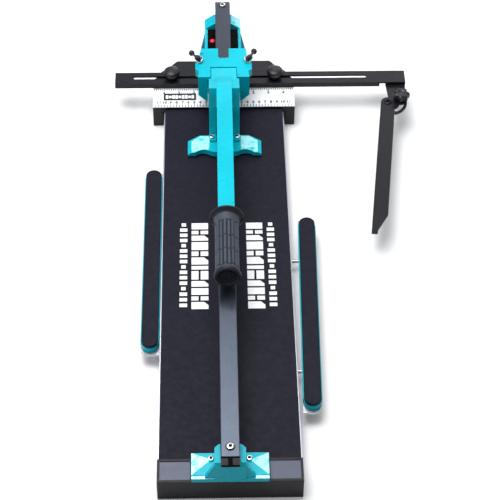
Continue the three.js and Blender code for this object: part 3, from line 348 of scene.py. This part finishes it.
def edged(node, width, segments=2, angle=25, material=None):
    """The CAD shape with its sharp edges rolled over, as a casting, pressing or moulding has."""
    piece = stand_in(f"{node}_shape", cad_mesh(node), node, material)
    bevel = piece.modifiers.new("edges", "BEVEL")
    bevel.width = width * MM
    bevel.segments = segments
    bevel.limit_method = "ANGLE"
    bevel.angle_limit = math.radians(angle)
    bevel.use_clamp_overlap = True
    bevel.miter_outer = "MITER_ARC"
    applied(piece)
    smooth(piece.data, 40)
    level = piece.modifiers.new("flat faces", "WEIGHTED_NORMAL")
    level.mode = "FACE_AREA"
    level.keep_sharp = True
    return applied(piece)


def lathed(profile, sides=64, closed=False):
    """Rings of (radius, height) in millimetres turned about z. A radius of zero closes the end."""
    bm = bmesh.new()
    rings = []
    for radius, height in profile:
        if radius < 1e-6:
            rings.append([bm.verts.new((0, 0, height * MM))])
            continue
        rings.append([
            bm.verts.new((radius * MM * math.cos(turn), radius * MM * math.sin(turn), height * MM))
            for turn in (2 * math.pi * i / sides for i in range(sides))
        ])
    pairs = list(zip(rings, rings[1:]))
    if closed:
        pairs.append((rings[-1], rings[0]))
    for first, second in pairs:
        for i in range(sides):
            j = (i + 1) % sides
            around = (
                first[i % len(first)],
                first[j % len(first)],
                second[j % len(second)],
                second[i % len(second)],
            )
            corners = []
            for vertex in around:
                if vertex not in corners:
                    corners.append(vertex)
            if len(corners) > 2:
                bm.faces.new(corners)
    bmesh.ops.recalc_face_normals(bm, faces=bm.faces)
    return bm


def finished(bm, name, matrix=None, angle=32):
    """The mesh of a bmesh, moved into place and shaded smooth."""
    mesh = bpy.data.meshes.new(name)
    bm.to_mesh(mesh)
    bm.free()
    if matrix is not None:
        mesh.transform(matrix)
    smooth(mesh, angle)
    return mesh


def rounded(points, radius, steps=4):
    """An outline of (radius, height) points with each inner corner rounded by an arc-like curve."""
    out = [points[0]]
    for before, corner, after in zip(points, points[1:], points[2:]):
        a, b, c = Vector(before), Vector(corner), Vector(after)
        reach = min(radius, (a - b).length * 0.45, (c - b).length * 0.45)
        start = b + (a - b).normalized() * reach
        end = b + (c - b).normalized() * reach
        for i in range(steps + 1):
            t = i / steps
            out.append(tuple((1 - t) ** 2 * start + 2 * t * (1 - t) * b + t * t * end))
    out.append(points[-1])
    return out


def joined_bm(parts):
    """One bmesh from several, which are freed."""
    whole = bmesh.new()
    for part in parts:
        mesh = bpy.data.meshes.new("part")
        part.to_mesh(mesh)
        part.free()
        whole.from_mesh(mesh)
        bpy.data.meshes.remove(mesh)
    return whole


def upright(point):
    return Matrix.Translation(point)


# ---------------------------------------------------------------- screws and knobs

def socket_head(radius, height, socket, depth, sides=48):
    """A cap screw's head: rolled top edge and a hexagon socket, standing on z = 0."""
    roll = 0.9
    lead_in = 0.35
    sixth = math.pi / 3

    def hexagon(turn):
        sector = (turn + sixth / 2) % sixth - sixth / 2
        return socket / math.cos(sector)

    turns = [2 * math.pi * i / sides for i in range(sides)]
    levels = [
        (0, lambda t: 0),
        (0, lambda t: radius),
        (height - roll, lambda t: radius),
        (height - 0.3, lambda t: radius - 0.25),
        (height, lambda t: radius - roll),
        (height, lambda t: hexagon(t) + lead_in),
        (height - 0.4, hexagon),
        (height - depth, hexagon),
        (height - depth - 0.5, lambda t: 0),
    ]
    bm = bmesh.new()
    rings = []
    for level, shape in levels:
        if shape(0) == 0:
            rings.append([bm.verts.new((0, 0, level * MM))])
            continue
        rings.append([
            bm.verts.new((shape(t) * MM * math.cos(t), shape(t) * MM * math.sin(t), level * MM))
            for t in turns
        ])
    for first, second in zip(rings, rings[1:]):
        for i in range(sides):
            j = (i + 1) % sides
            if len(first) == 1:
                bm.faces.new((first[0], second[j], second[i]))
            elif len(second) == 1:
                bm.faces.new((first[i], first[j], second[0]))
            else:
                bm.faces.new((first[i], first[j], second[j], second[i]))
    bmesh.ops.recalc_face_normals(bm, faces=bm.faces)
    return bm


def threaded_shank(radius, length, pitch=1.0):
    """A shank that hangs below z = 0, ringed like a thread."""
    thread_depth = 0.35
    end_chamfer = 0.6
    profile = [(0, 0), (radius, 0)]
    turns = int(length / pitch)
    for i in range(turns):
        profile.append((radius, -pitch * (i + 0.15)))
        profile.append((radius - thread_depth, -pitch * (i + 0.6)))
    profile.append((radius - end_chamfer, -length))
    profile.append((0, -length))
    return lathed(profile, 24)


def vertical_screw(node):
    """A socket screw in the place and size of its CAD node, head up, with painted shade in its socket."""
    head_share = 0.42
    socket_share = 0.5
    shank_share = 0.58
    low, high = low_high(node)
    center = middle(node)
    radius = (high.x - low.x) / 2 / MM
    total = (high.z - low.z) / MM
    head = min(radius * 0.85, total * head_share)
    seat = high.z - head * MM
    bm = joined_bm([
        socket_head(radius, head, radius * socket_share, head * 0.55),
        threaded_shank(radius * shank_share, total - head - 0.2),
    ])
    piece = stand_in(f"{node}_screw", finished(bm, node, upright((center.x, center.y, seat)), 30), node)
    # Painted shade: the faces inside the socket get the near-black material.
    piece.data.materials.append(socket_painted_shade)
    for polygon in piece.data.polygons:
        away = math.hypot(polygon.center.x - center.x, polygon.center.y - center.y)
        if away < radius * 0.56 * MM and seat < polygon.center.z < high.z - 0.3 * MM:
            polygon.material_index = 1


def ball_knob(node):
    """Fence knob: a shallow dome with a moulded ring, a rim with fine flutes, a neck and a stud."""
    low, high = low_high(node)
    center = middle(node)
    radius = (high.x - low.x) / 2 / MM
    stud = 14.0
    flutes = 24
    flute_depth = 0.022
    height = (high.z - low.z) / MM - stud
    outline = rounded([
        (0, height - 0.2), (radius * 0.3, height), (radius * 0.62, height - 0.5),
        (radius * 0.66, height - 1.0), (radius * 0.72, height - 0.9), (radius * 0.93, height - 2.6),
        (radius, height - 5.0), (radius, 8.6), (radius * 0.93, 6.6), (radius * 0.66, 4.6),
        (radius * 0.62, 1.0), (radius * 0.64, 0.2), (0, 0),
    ], 0.7, 3)
    bm = lathed(outline, flutes * 4)
    for vertex in bm.verts:
        out = math.hypot(vertex.co.x, vertex.co.y)
        if out > radius * 0.96 * MM:
            flute = 0.5 + 0.5 * math.cos(flutes * math.atan2(vertex.co.y, vertex.co.x))
            share = 1 - flute_depth * (1 - flute)
            vertex.co.x *= share
            vertex.co.y *= share
    whole = joined_bm([bm, threaded_shank(STUD_RADIUS, stud)])
    place = upright((center.x, center.y, low.z + stud * MM))
    stand_in(f"{node}_knob", finished(whole, node, place, 35), node)


def star_knob(node):
    """Stop knob: seven soft lobes, a dished crown and a collar."""
    joint = next(j for j in frame["joints"] if j["child"] == "stop_knob")
    x, y, _ = joint["pos_m"]
    low, high = low_high(node)
    stud = 12.0
    height = (high.z - low.z) / MM - stud
    lobes = 7
    swell = 1.8
    collar = 8.0
    radius = 14.5 - swell
    levels = [
        (0.0, 0.0), (collar, 0.0), (collar, 2.6), (radius - 1.6, 3.2), (radius - 0.3, 4.4),
        (radius, 6.2), (radius, height - 4.2), (radius - 0.7, height - 2.0), (radius - 2.2, height - 0.7),
        (radius - 4.5, height), (radius - 6.0, height - 0.2), (radius - 7.0, height - 1.2),
        (3.0, height - 1.6), (0.0, height - 1.6),
    ]
    bm = lathed(levels, lobes * 16)
    for vertex in bm.verts:
        out = math.hypot(vertex.co.x, vertex.co.y) / MM
        share = max(0.0, min(1.0, (out - 7.6) / (radius - 8.6)))
        if vertex.co.z < 2.9 * MM or share == 0:
            continue
        wave = math.cos(lobes * math.atan2(vertex.co.y, vertex.co.x))
        grow = 1 + share * swell * wave / radius
        vertex.co.x *= grow
        vertex.co.y *= grow
    whole = joined_bm([bm, threaded_shank(STUD_RADIUS, stud)])
    place = upright((x, y, low.z + stud * MM))
    stand_in(f"{node}_star", finished(whole, node, place, 38), node)


def clamp_axis(side):
    """Where a clamp screw's axis starts, and its direction."""
    joint = next(j for j in frame["joints"] if j["child"] == f"clamp_{side}")
    return Vector(joint["pos_m"]), Vector(joint["axis"]).normalized()


def clamp_screw(side):
    """Plated clamp screw: a round collar above the carriage and the screw inside it."""
    foot, axis = clamp_axis(side)
    turn = Vector((0, 0, 1)).rotation_difference(axis).to_matrix().to_4x4()
    shank = 4
    collar = 7.2
    bm = lathed(rounded([
        (0, -9), (shank, -9), (shank, 0.9), (collar - 0.6, 2.7), (collar, 3.1), (collar, 4.0),
        (collar - 0.6, 4.4), (shank, 4.6), (shank - 0.6, 5.0), (0, 5.0),
    ], 0.3, 2), 40)
    node = f"clamp_screw_{side}"
    stand_in(f"{node}_turned", finished(bm, node, Matrix.Translation(foot) @ turn, 30), node)


def clamp_handle(side):
    """Ball-ended clamp lever: a stepped hub on the screw's axis, a tapered stem and a round ball."""
    node = f"clamp_lever_{side}"
    foot, axis = clamp_axis(side)
    hub_start = 5.3
    hub_length = 8.0
    hub_radius = 4.8
    ball_radius = 5.0
    hub_middle = foot + axis * (hub_start + hub_length / 2) * MM
    points = [vertex.co for vertex in frame["nodes"][node].data.vertices]
    tip = max(points, key=lambda point: (point - hub_middle).length)
    stem = (tip - hub_middle).normalized()
    length = (tip - hub_middle).length / MM - ball_radius
    half = hub_length / 2
    turn = Vector((0, 0, 1)).rotation_difference(axis).to_matrix().to_4x4()
    hub = lathed(rounded([
        (0, -half), (hub_radius - 0.5, -half), (hub_radius, -half + 0.6), (hub_radius, half - 1.6),
        (hub_radius - 1.2, half - 1.2), (hub_radius - 1.4, half), (0, half),
    ], 0.4, 3), 40)
    hub.transform(Matrix.Translation(hub_middle) @ turn)
    outline = [(0, 0), (2.4, 0.4), (2.4, 5.0), (1.9, length * 0.55), (2.1, length - 4.4)]
    steps = 12
    first = 0.14 * math.pi
    for i in range(1, steps):
        angle = first + (math.pi - first) * i / steps
        outline.append((ball_radius * math.sin(angle), length - ball_radius * math.cos(angle)))
    outline.append((0, length + ball_radius))
    arm = lathed(outline, 36)
    aim = Vector((0, 0, 1)).rotation_difference(stem).to_matrix().to_4x4()
    arm.transform(Matrix.Translation(hub_middle) @ aim)
    stand_in(f"{node}_ball", finished(joined_bm([hub, arm]), node, None, 40), node)


def across_bolt(node, side):
    """A hexagon-headed bolt lying along x, its head on the carriage's outer side."""
    low, high = low_high(node)
    center = middle(node)
    head = (high.y - low.y) / 2 / MM
    length = (high.x - low.x) / MM
    shank, head_height = (4.0, 3.8) if node.startswith("pivot") else (3.0, 2.2)
    bm = lathed(rounded([
        (0, 0), (shank - 0.5, 0), (shank, 0.6), (shank, length - head_height), (head, length - head_height),
        (head, length - 0.6), (head - 0.8, length), (0, length),
    ], 0.25, 2), 36)
    sign = -1 if side == "left" else 1
    aim = Vector((0, 0, 1)).rotation_difference(Vector((sign, 0, 0))).to_matrix().to_4x4()
    start = Vector((high.x if sign < 0 else low.x, center.y, center.z))
    stand_in(f"{node}_turned", finished(bm, node, Matrix.Translation(start) @ aim, 30), node)


# ---------------------------------------------------------------- grip

def grip_piece():
    """Rubber sleeve: guard flange, cone, ribbed bands parted by chevron grooves, end flange and plug."""
    node = "grip"
    low, high = low_high(node)
    axis_z = (low.z + high.z) / 2
    length = (high.y - low.y) / MM
    bore = 11.1
    body = 17.0
    straight_start = 20.0
    straight_end = length - 11.5
    outer = [
        (bore, 0.0), (22.5, 0.0), (24.6, 0.5), (25.7, 1.6), (26.0, 2.8), (25.6, 4.1), (24.2, 5.0),
        (22.6, 5.6), (20.8, 6.6), (19.4, 9.0), (18.2, 12.5), (17.4, 16.0), (17.1, 18.4),
        (body, straight_start),
    ]
    ring_spacing = 0.7
    straight = straight_end - straight_start
    count = int(straight / ring_spacing)
    outer += [(body, straight_start + straight * (i + 1) / count) for i in range(count)]
    outer += [
        (17.3, length - 10.6), (18.3, length - 9.6), (19.4, length - 8.2), (20.0, length - 6.4),
        (20.0, length - 3.4), (19.3, length - 1.4), (17.8, length - 0.3), (16.2, length),
        (15.4, length - 0.5), (14.9, length - 1.8), (14.6, length - 3.4), (13.0, length - 3.8),
        (bore + 0.5, length - 4.0), (bore, length - 4.8),
    ]
    ribs = 18
    bm = lathed(outer, ribs * 12, closed=True)
    first_band = straight_start + 2
    ribbed = straight - 4
    bands = [first_band, first_band + ribbed * 0.36, first_band + ribbed * 0.66, straight_end - 2]
    rib_lift, groove_depth = 1.0, 0.9
    relief = rib_lift + groove_depth
    zigzag_depth = 2.6
    deep = set()
    bm.verts.index_update()
    for vertex in bm.verts:
        along = vertex.co.z / MM
        out = math.hypot(vertex.co.x, vertex.co.y) / MM
        on_body = body - 0.1 <= out <= body + 0.2
        if not on_body or not straight_start + 0.5 < along < straight_end:
            continue
        angle = math.atan2(vertex.co.y, vertex.co.x)
        zigzag = zigzag_depth * abs(((angle * ribs / 4 / math.pi) % 1) * 2 - 1)
        rib = max(0.0, min(1.0, 0.9 + 2.6 * math.cos(ribs * angle)))
        lift = relief * rib - groove_depth
        for edge in bands:
            gap = abs(along - edge - zigzag + zigzag_depth / 2)
            if gap < 1.4:
                lift = min(lift, -groove_depth + relief * max(0.0, gap - 0.5) / 0.9)
        if lift < -0.1:
            deep.add(vertex.index)
        share = (out + lift) / out
        vertex.co.x *= share
        vertex.co.y *= share
    bm.verts.ensure_lookup_table()
    flags = [all(v.index in deep for v in face.verts) for face in bm.faces]
    axis_x = middle(node).x
    place = Matrix.Translation((axis_x, high.y, axis_z)) @ Matrix.Rotation(math.radians(90), 4, "X")
    piece = stand_in("grip_sleeve", finished(bm, node, place, 50), node)
    piece.data.materials.append(grip_groove_shade)
    piece.data.materials.append(grip_flange)
    # Painted shade: faces sunk in the grooves and faces inside the bore get the darker rubber.
    for polygon, in_groove in zip(piece.data.polygons, flags):
        along = (high.y - polygon.center.y) / MM
        from_axis = math.hypot(polygon.center.x - axis_x, polygon.center.z - axis_z)
        if in_groove or from_axis < (bore + 3.2) * MM:
            polygon.material_index = 1
        elif along < 8 or along > length - 7:
            polygon.material_index = 2
    plug_radius = bore - 0.1
    face = length - 2.6
    plug = lathed([
        (0, face - 1.2), (2.6, face - 1.2), (3.0, face - 0.2), (3.4, face), (6.2, face),
        (6.6, face - 0.3), (7.0, face - 1.5), (8.4, face - 1.5), (8.8, face - 0.4), (9.3, face - 0.2),
        (plug_radius, face - 0.2), (plug_radius, face - 2.2), (0, face - 2.2),
    ], 72)
    mesh = finished(plug, "plug", place, 30)
    new_piece("grip_end_plug", mesh, body_of(node), grip_flange)


# ---------------------------------------------------------------- printed marks

PRINT_GAP = 0.00001
PRINT_THICKNESS = 0.00008


def mark_prism(bm, corners, z, thickness):
    """A thin closed prism over a plan outline given as (x, y) in metres."""
    bottom = [bm.verts.new((x, y, z)) for x, y in corners]
    top = [bm.verts.new((x, y, z + thickness)) for x, y in corners]
    bm.faces.new(list(reversed(bottom)))
    bm.faces.new(top)
    for i in range(len(corners)):
        j = (i + 1) % len(corners)
        bm.faces.new((bottom[i], bottom[j], top[j], top[i]))


def mark_box(bm, x0, x1, y0, y1, z, thickness=PRINT_THICKNESS):
    mark_prism(bm, [(x0, y0), (x1, y0), (x1, y1), (x0, y1)], z, thickness)


def number_mesh(text, size, x, y, z):
    """A digit string as thin solid print, centred on x."""
    curve = bpy.data.curves.new("digits", "FONT")
    curve.body = text
    curve.size = size
    curve.align_x = "CENTER"
    curve.align_y = "CENTER"
    curve.extrude = PRINT_THICKNESS / 2
    curve.offset = size * 0.04
    curve.resolution_u = 3
    holder = bpy.data.objects.new("digits", curve)
    bpy.context.scene.collection.objects.link(holder)
    bpy.context.view_layer.update()
    graph = bpy.context.evaluated_depsgraph_get()
    mesh = bpy.data.meshes.new_from_object(holder.evaluated_get(graph))
    mesh.transform(Matrix.Translation((x, y, z + PRINT_THICKNESS / 2)))
    bpy.data.objects.remove(holder)
    bpy.data.curves.remove(curve)
    return mesh


def scale_marks():
    """Centimetre ticks and numbers along the front edge, inch ticks and numbers along the back edge."""
    low, high = low_high("ruler")
    z = high.z + PRINT_GAP
    bm = bmesh.new()
    half = (high.x - low.x) / 2
    center = (low.x + high.x) / 2
    half_line = 0.0006
    centimetre = 0.01
    inch = 0.0254
    digit = 0.0080
    for step in range(-23, 24):
        x = center + step * centimetre / 2
        reach = 0.0068 if step % 2 == 0 else 0.0050
        mark_box(bm, x - half_line, x + half_line, low.y + 0.0006, low.y + reach, z)
    back = high.y - 0.0034
    for step in range(-37, 38):
        x = center + step * inch / 8
        if abs(x - center) > half - 0.002:
            continue
        reach = 0.0070 if step % 8 == 0 else (0.0056 if step % 4 == 0 else 0.0042)
        mark_box(bm, x - half_line, x + half_line, back - reach, back, z)
    white = bmesh.new()
    label_box(bm, white, center - 0.0745, low.y + 0.0255, z)
    white_mesh = bpy.data.meshes.new("label_tiles")
    white.to_mesh(white_mesh)
    white.free()
    new_piece("label_tiles", white_mesh, "base", print_white)
    for number in range(1, 12):
        for sign in (-1, 1):
            x = center + sign * number * centimetre
            mesh = number_mesh(str(number), digit, x, low.y + 0.0112, z)
            bm.from_mesh(mesh)
            bpy.data.meshes.remove(mesh)
    for number in range(1, 5):
        for sign in (-1, 1):
            x = center + sign * number * inch
            mesh = number_mesh(str(number), digit, x, high.y - 0.0150, z)
            bm.from_mesh(mesh)
            bpy.data.meshes.remove(mesh)
    mesh = bpy.data.meshes.new("scale_marks")
    bm.to_mesh(mesh)
    bm.free()
    new_piece("scale_marks", mesh, "base", print_black)


def label_box(black, white, x, y, z):
    """A plain printed panel: a black block with a row of white tile shapes on it."""
    width = 0.055
    height = 0.0175
    margin = 0.003
    gap = 0.001
    tiles = 9
    mark_box(black, x - width / 2, x + width / 2, y - height / 2, y + height / 2, z)
    top = z + PRINT_THICKNESS + PRINT_GAP
    pitch = (width - 2 * margin) / tiles
    for i in range(tiles):
        left = x - width / 2 + margin + i * pitch
        half_tall = 0.0030 if i % 3 == 1 else 0.0044
        mark_box(white, left + gap / 2, left + pitch - gap / 2, y - half_tall, y + half_tall, top, 0.00005)


def mat_print(node):
    """White pattern on a mat: a bold row of laid tiles beside a thin row of short strips."""
    z = low_high(node)[1].z + PRINT_GAP
    bold_center, thin_center = (-0.0412, -0.0664) if node.startswith("left") else (0.0443, 0.0697)
    far = low_high("ruler")[0].y - 0.268
    length = 0.179
    bold_width = 0.0258
    thin_width = 0.0115
    x0 = bold_center - bold_width / 2
    x1 = bold_center + bold_width / 2
    bm = bmesh.new()
    pattern = [1.0, 0.55, 0.8, 1.25, 0.7, 1.1, 0.55, 1.3, 0.85, 1.0, 0.6, 1.05]
    gap = 0.0032
    unit = (length - gap * (len(pattern) - 1)) / sum(pattern)
    y = far
    for i, share in enumerate(pattern):
        near = y - share * unit
        if i % 3 == 1:
            split = x0 + bold_width * 0.48
            mark_box(bm, x0, split - gap / 2, near, y, z)
            mark_box(bm, split + gap / 2, x1, near, y, z)
        elif i % 3 == 2:
            cut = min(share * unit, 0.012) * 0.55
            outline = [(x0, near), (x1, near), (x1, y - cut), (x1 - cut, y), (x0, y)]
            mark_prism(bm, outline, z, PRINT_THICKNESS)
        else:
            mark_box(bm, x0, x1, near, y, z)
        y = near - gap
    strips = 16
    pitch = length / strips
    for i in range(strips):
        top = far - i * pitch
        wide = thin_width if i % 4 else thin_width * 0.6
        mark_box(bm, thin_center - wide / 2, thin_center + wide / 2, top - pitch * 0.62, top, z)
    mesh = bpy.data.meshes.new("mat_print")
    bm.to_mesh(mesh)
    bm.free()
    new_piece(f"{node}_print", mesh, "base", print_white)


# ---------------------------------------------------------------- cast, pressed and moulded pieces

def looks_up(polygon):
    return polygon.normal.z > 0.9


def end_cap(node):
    """End cap. The front one has a sunk panel on each side of the rail support, whose upward faces get a lighter
    blue-grey plastic as a painted reflection.
    """
    piece = edged(node, 1.4, 3)
    top = low_high(node)[1].z
    panel_from = 0.052
    piece.data.materials.append(panel_painted_reflection)
    # Painted reflection: the sunk panels' upward faces beside the rail support get the lighter plastic.
    for polygon in piece.data.polygons:
        in_recess = 0.0004 < top - polygon.center.z < 0.003
        beside_support = abs(polygon.center.x) > panel_from
        if node == "front_end_cap" and looks_up(polygon) and in_recess and beside_support:
            polygon.material_index = 1


def lands(node, width):
    """A casting whose upper faces, outside the middle, get the pale teal of a painted highlight."""
    piece = edged(node, width)
    above = low_high(node)[0].z + 0.004
    outside = 0.024
    piece.data.materials.append(painted_highlight_teal)
    # Painted highlight: upward faces above the bottom and outside the middle get the pale teal.
    for polygon in piece.data.polygons:
        if looks_up(polygon) and polygon.center.z > above and abs(polygon.center.x) > outside:
            polygon.material_index = 1


def support_arm(side):
    """A side support: rubber facing, enamelled tray, plated slider."""
    edged(f"{side}_support_pad", 1.3, 3, 40)
    edged(f"{side}_support_tray", 0.7, 2, 40)
    edged(f"{side}_support_slider", 0.4, 2, 40, plate_steel)


def rear_bracket():
    """Rail bracket at the fence, with painted shade on its floor and a painted highlight on its right shoulder."""
    node = "rear_rail_support"
    piece = edged(node, 0.9)
    piece.data.materials.append(painted_shade_teal)
    piece.data.materials.append(painted_highlight_teal)
    floor_top = low_high(node)[0].z + 0.0068
    for polygon in piece.data.polygons:
        normal, center = polygon.normal, polygon.center
        # Painted shade: the floor's upward faces get the dark teal.
        if normal.z > 0.9 and center.z < floor_top:
            polygon.material_index = 1
        # Painted highlight: sloped faces turned up and to the right get the pale teal.
        elif 0.3 < normal.z < 0.95 and normal.x > 0.3 and center.z > floor_top + 0.01:
            polygon.material_index = 2


def button_piece():
    """The laser's button: a short domed cap."""
    node = "laser_button"
    low, high = low_high(node)
    center = middle(node)
    radius = (high.x - low.x) / 2 / MM
    height = (high.z - low.z) / MM
    bm = lathed(rounded([
        (0, 0), (radius, 0), (radius, height - 1.6), (radius - 1.0, height - 0.5),
        (radius * 0.4, height), (0, height),
    ], 0.5, 4), 48)
    place = upright((center.x, center.y, low.z))
    stand_in("laser_button_cap", finished(bm, node, place, 40), node)


def rivet_piece():
    """The hollow rivet that the stop arm swings on."""
    node = "stop_pivot_rivet"
    low, high = low_high(node)
    center = middle(node)
    total = (high.z - low.z) / MM
    bore = 3.6
    shank = 5.0
    seat = total - 1.6
    bm = lathed(rounded([
        (bore, 0), (shank, 0), (shank, seat), (6.5, seat), (6.4, total - 0.7), (5.2, total),
        (4.1, total), (bore, total - 0.8), (bore, 0.2),
    ], 0.25, 2), 56, closed=True)
    place = upright((center.x, center.y, low.z))
    stand_in("stop_rivet_turned", finished(bm, node, place, 35), node)


def black_trim(name, mesh):
    """A small fixed black piece with no CAD node of its own: black plastic for the rail's end plugs, painted shade
    for the rings round the rail bolts.
    """
    new_piece(name, mesh, "base", looks["black_plastic"])


def rail_piece():
    """The extrusion with black cut ends, two plugs in its front end and a ring of painted shade under each bolt.
    """
    low, high = low_high("rail")
    piece = edged("rail", 0.4, 2, 25, dark_anodised)
    piece.data.materials.append(deep_black)
    for polygon in piece.data.polygons:
        from_end = min(polygon.center.y - low.y, high.y - polygon.center.y)
        if abs(polygon.normal.y) > 0.9 and from_end < 0.001:
            polygon.material_index = 1
    inner, outer = 0.0032, 0.0124
    front, back = low.y + 0.0001, low.y + 0.0035
    plug_rise, plug_height = 0.0047, 0.0156
    plugs = bmesh.new()
    for left, right in ((-outer, -inner), (inner, outer)):
        mark_box(plugs, left, right, front, back, low.z + plug_rise, plug_height)
    mesh = bpy.data.meshes.new("plugs")
    plugs.to_mesh(mesh)
    plugs.free()
    black_trim("rail_end_plugs", mesh)
    # Painted shade: a thin black ring round each rail bolt's head.
    for node in ("front_rail_bolt", "rear_rail_bolt"):
        head = middle(node)
        outline = [(5.5, 0.02), (7.0, 0.02), (6.8, 0.35), (5.6, 0.35), (5.5, 0.02)]
        ring = lathed(rounded(outline, 0.1, 2), 48)
        place = upright((head.x, head.y, high.z))
        black_trim(f"{node}_ring", finished(ring, "ring", place))


def lying_across(node):
    """A placement that turns a lathed piece's axis along x, about the middle of a node."""
    return Matrix.Translation(middle(node)) @ Matrix.Rotation(math.radians(90), 4, "Y")


def wheel_piece():
    """The cutting wheel: a disc ground to an edge from both sides."""
    node = "cutting_wheel"
    outline = [
        (3.3, -2.5), (8.3, -2.5), (8.6, -2.3), (10.9, -0.12), (11.0, 0), (10.9, 0.12), (8.6, 2.3),
        (8.3, 2.5), (3.3, 2.5),
    ]
    bm = lathed(outline, 96, closed=True)
    stand_in("cutting_wheel_disc", finished(bm, node, lying_across(node), 20), node)


def roller_piece(node):
    """A shielded ball bearing: outer ring, recessed shield, inner ring."""
    low, high = low_high(node)
    radius = (high.z - low.z) / 2 / MM
    half = 2.5
    bore = 3.3
    shield = half - 0.5
    outline = rounded([
        (bore, -half), (4.4, -half), (4.6, -shield), (radius - 1.7, -shield), (radius - 1.5, -half),
        (radius, -half), (radius, half), (radius - 1.5, half), (radius - 1.7, shield), (4.6, shield),
        (4.4, half), (bore, half),
    ], 0.2, 2)
    bm = lathed(outline, 56, closed=True)
    stand_in(f"{node}_bearing", finished(bm, node, lying_across(node), 30), node)


# ---------------------------------------------------------------- making every piece

EDGE_WIDTHS = {
    "carriage_body": 1.0, "lever": 1.3, "fence_base": 0.8, "fence_bar": 0.7, "stop_arm": 0.5,
    "base_frame": 0.35, "ruler": 0.25, "breaking_ridge": 0.3, "front_rubber_foot": 0.8,
    "rear_rubber_foot": 0.8, "laser_lens": 0.3, "wheel_axle": 0.3, "wheel_spacer": 0.3,
}


def make_pieces():
    for node, width in EDGE_WIDTHS.items():
        edged(node, width)
    edged("laser_housing", 0.9, 2, 25, deep_black)
    rail_piece()
    rear_bracket()
    lands("breaking_foot", 0.8)
    lands("front_rail_support", 1.0)
    for node in ("front_end_cap", "rear_end_cap"):
        end_cap(node)
    for node in ("left_mat", "right_mat"):
        edged(node, 0.8, 2)
        mat_print(node)
    for side in ("left", "right"):
        support_arm(side)
        clamp_screw(side)
        clamp_handle(side)
        ball_knob(f"fence_knob_{side}")
        across_bolt(f"pivot_bolt_{side}", side)
        for station in ("front", "rear"):
            across_bolt(f"roller_bolt_{side}_{station}", side)
            roller_piece(f"roller_{side}_{station}")
        for family in ("front_support_bolt", "rear_support_bolt", "foot_bolt"):
            vertical_screw(f"{family}_{side}")
    for node in ("front_rail_bolt", "rear_rail_bolt"):
        vertical_screw(node)
    star_knob("stop_knob")
    grip_piece()
    button_piece()
    rivet_piece()
    wheel_piece()
    scale_marks()


# ---------------------------------------------------------------- studio

def look_matrix(yaw, pitch, roll):
    """The turn of a camera: yaw from +Y, pitch below the horizon, roll about the line of sight."""
    forward = Vector((math.sin(yaw) * math.cos(pitch), math.cos(yaw) * math.cos(pitch), -math.sin(pitch)))
    right = Vector((math.cos(yaw), -math.sin(yaw), 0))
    down = forward.cross(right)
    turned_right = math.cos(roll) * right + math.sin(roll) * down
    turned_down = math.cos(roll) * down - math.sin(roll) * right
    return Matrix((turned_right, -turned_down, -forward)).transposed().to_4x4()


def make_camera():
    """A long lens in front of the machine, above it and a little to its left."""
    data = bpy.data.cameras.new("camera")
    data.lens = 115.2
    data.sensor_width = 36
    data.clip_end = 20
    camera = bpy.data.objects.new("camera", data)
    fence_line = low_high("ruler")[0].y
    place = Vector((-0.0181, fence_line - 2.0215, 1.8569))
    camera.matrix_world = Matrix.Translation(place) @ look_matrix(0.03233, 0.82066, -0.01289)
    bpy.context.scene.collection.objects.link(camera)
    bpy.context.scene.camera = camera


def area_light(name, place, target, size, power):
    """A rectangular softbox at a place, aimed at the target."""
    data = bpy.data.lights.new(name, "AREA")
    data.shape = "RECTANGLE"
    data.size, data.size_y = size
    data.energy = power
    light = bpy.data.objects.new(name, data)
    aim = (Vector(target) - Vector(place)).to_track_quat("-Z", "Y")
    light.matrix_world = Matrix.Translation(place) @ aim.to_matrix().to_4x4()
    bpy.context.scene.collection.objects.link(light)


def make_studio():
    """Pale surroundings, three softboxes and a pale floor that throws no light back up at the object."""
    world = bpy.data.worlds.new("studio")
    world.use_nodes = True
    world.node_tree.nodes["Background"].inputs["Color"].default_value = (0.95, 0.97, 1.0, 1)
    world.node_tree.nodes["Background"].inputs["Strength"].default_value = 0.42
    bpy.context.scene.world = world
    center = (0.0, 0.45, 0.05)
    area_light("overhead softbox", (-0.4, 0.9, 2.5), center, (1.8, 1.8), 78)
    area_light("left fill", (-2.4, -0.6, 1.2), center, (1.2, 1.2), 12)
    area_light("rear strip", (0.9, 2.9, 1.5), center, (2.2, 0.8), 14)
    floor_mesh = bpy.data.meshes.new("floor")
    bm = bmesh.new()
    bmesh.ops.create_grid(bm, x_segments=2, y_segments=2, size=14)
    bm.to_mesh(floor_mesh)
    bm.free()
    floor = bpy.data.objects.new("floor", floor_mesh)
    paint = Shader("pale floor", (0.9, 0.9, 0.9), 0.9, specular=0.1)
    paint.color(paint.mixed(paint.noise(0.8, 2), (0.9, 0.9, 0.9), (0.88, 0.885, 0.89)))
    floor_mesh.materials.append(paint.material)
    floor.visible_diffuse = False
    bpy.context.scene.collection.objects.link(floor)
    bpy.context.scene.view_settings.view_transform = "Standard"


make_camera()
make_studio()
make_pieces()
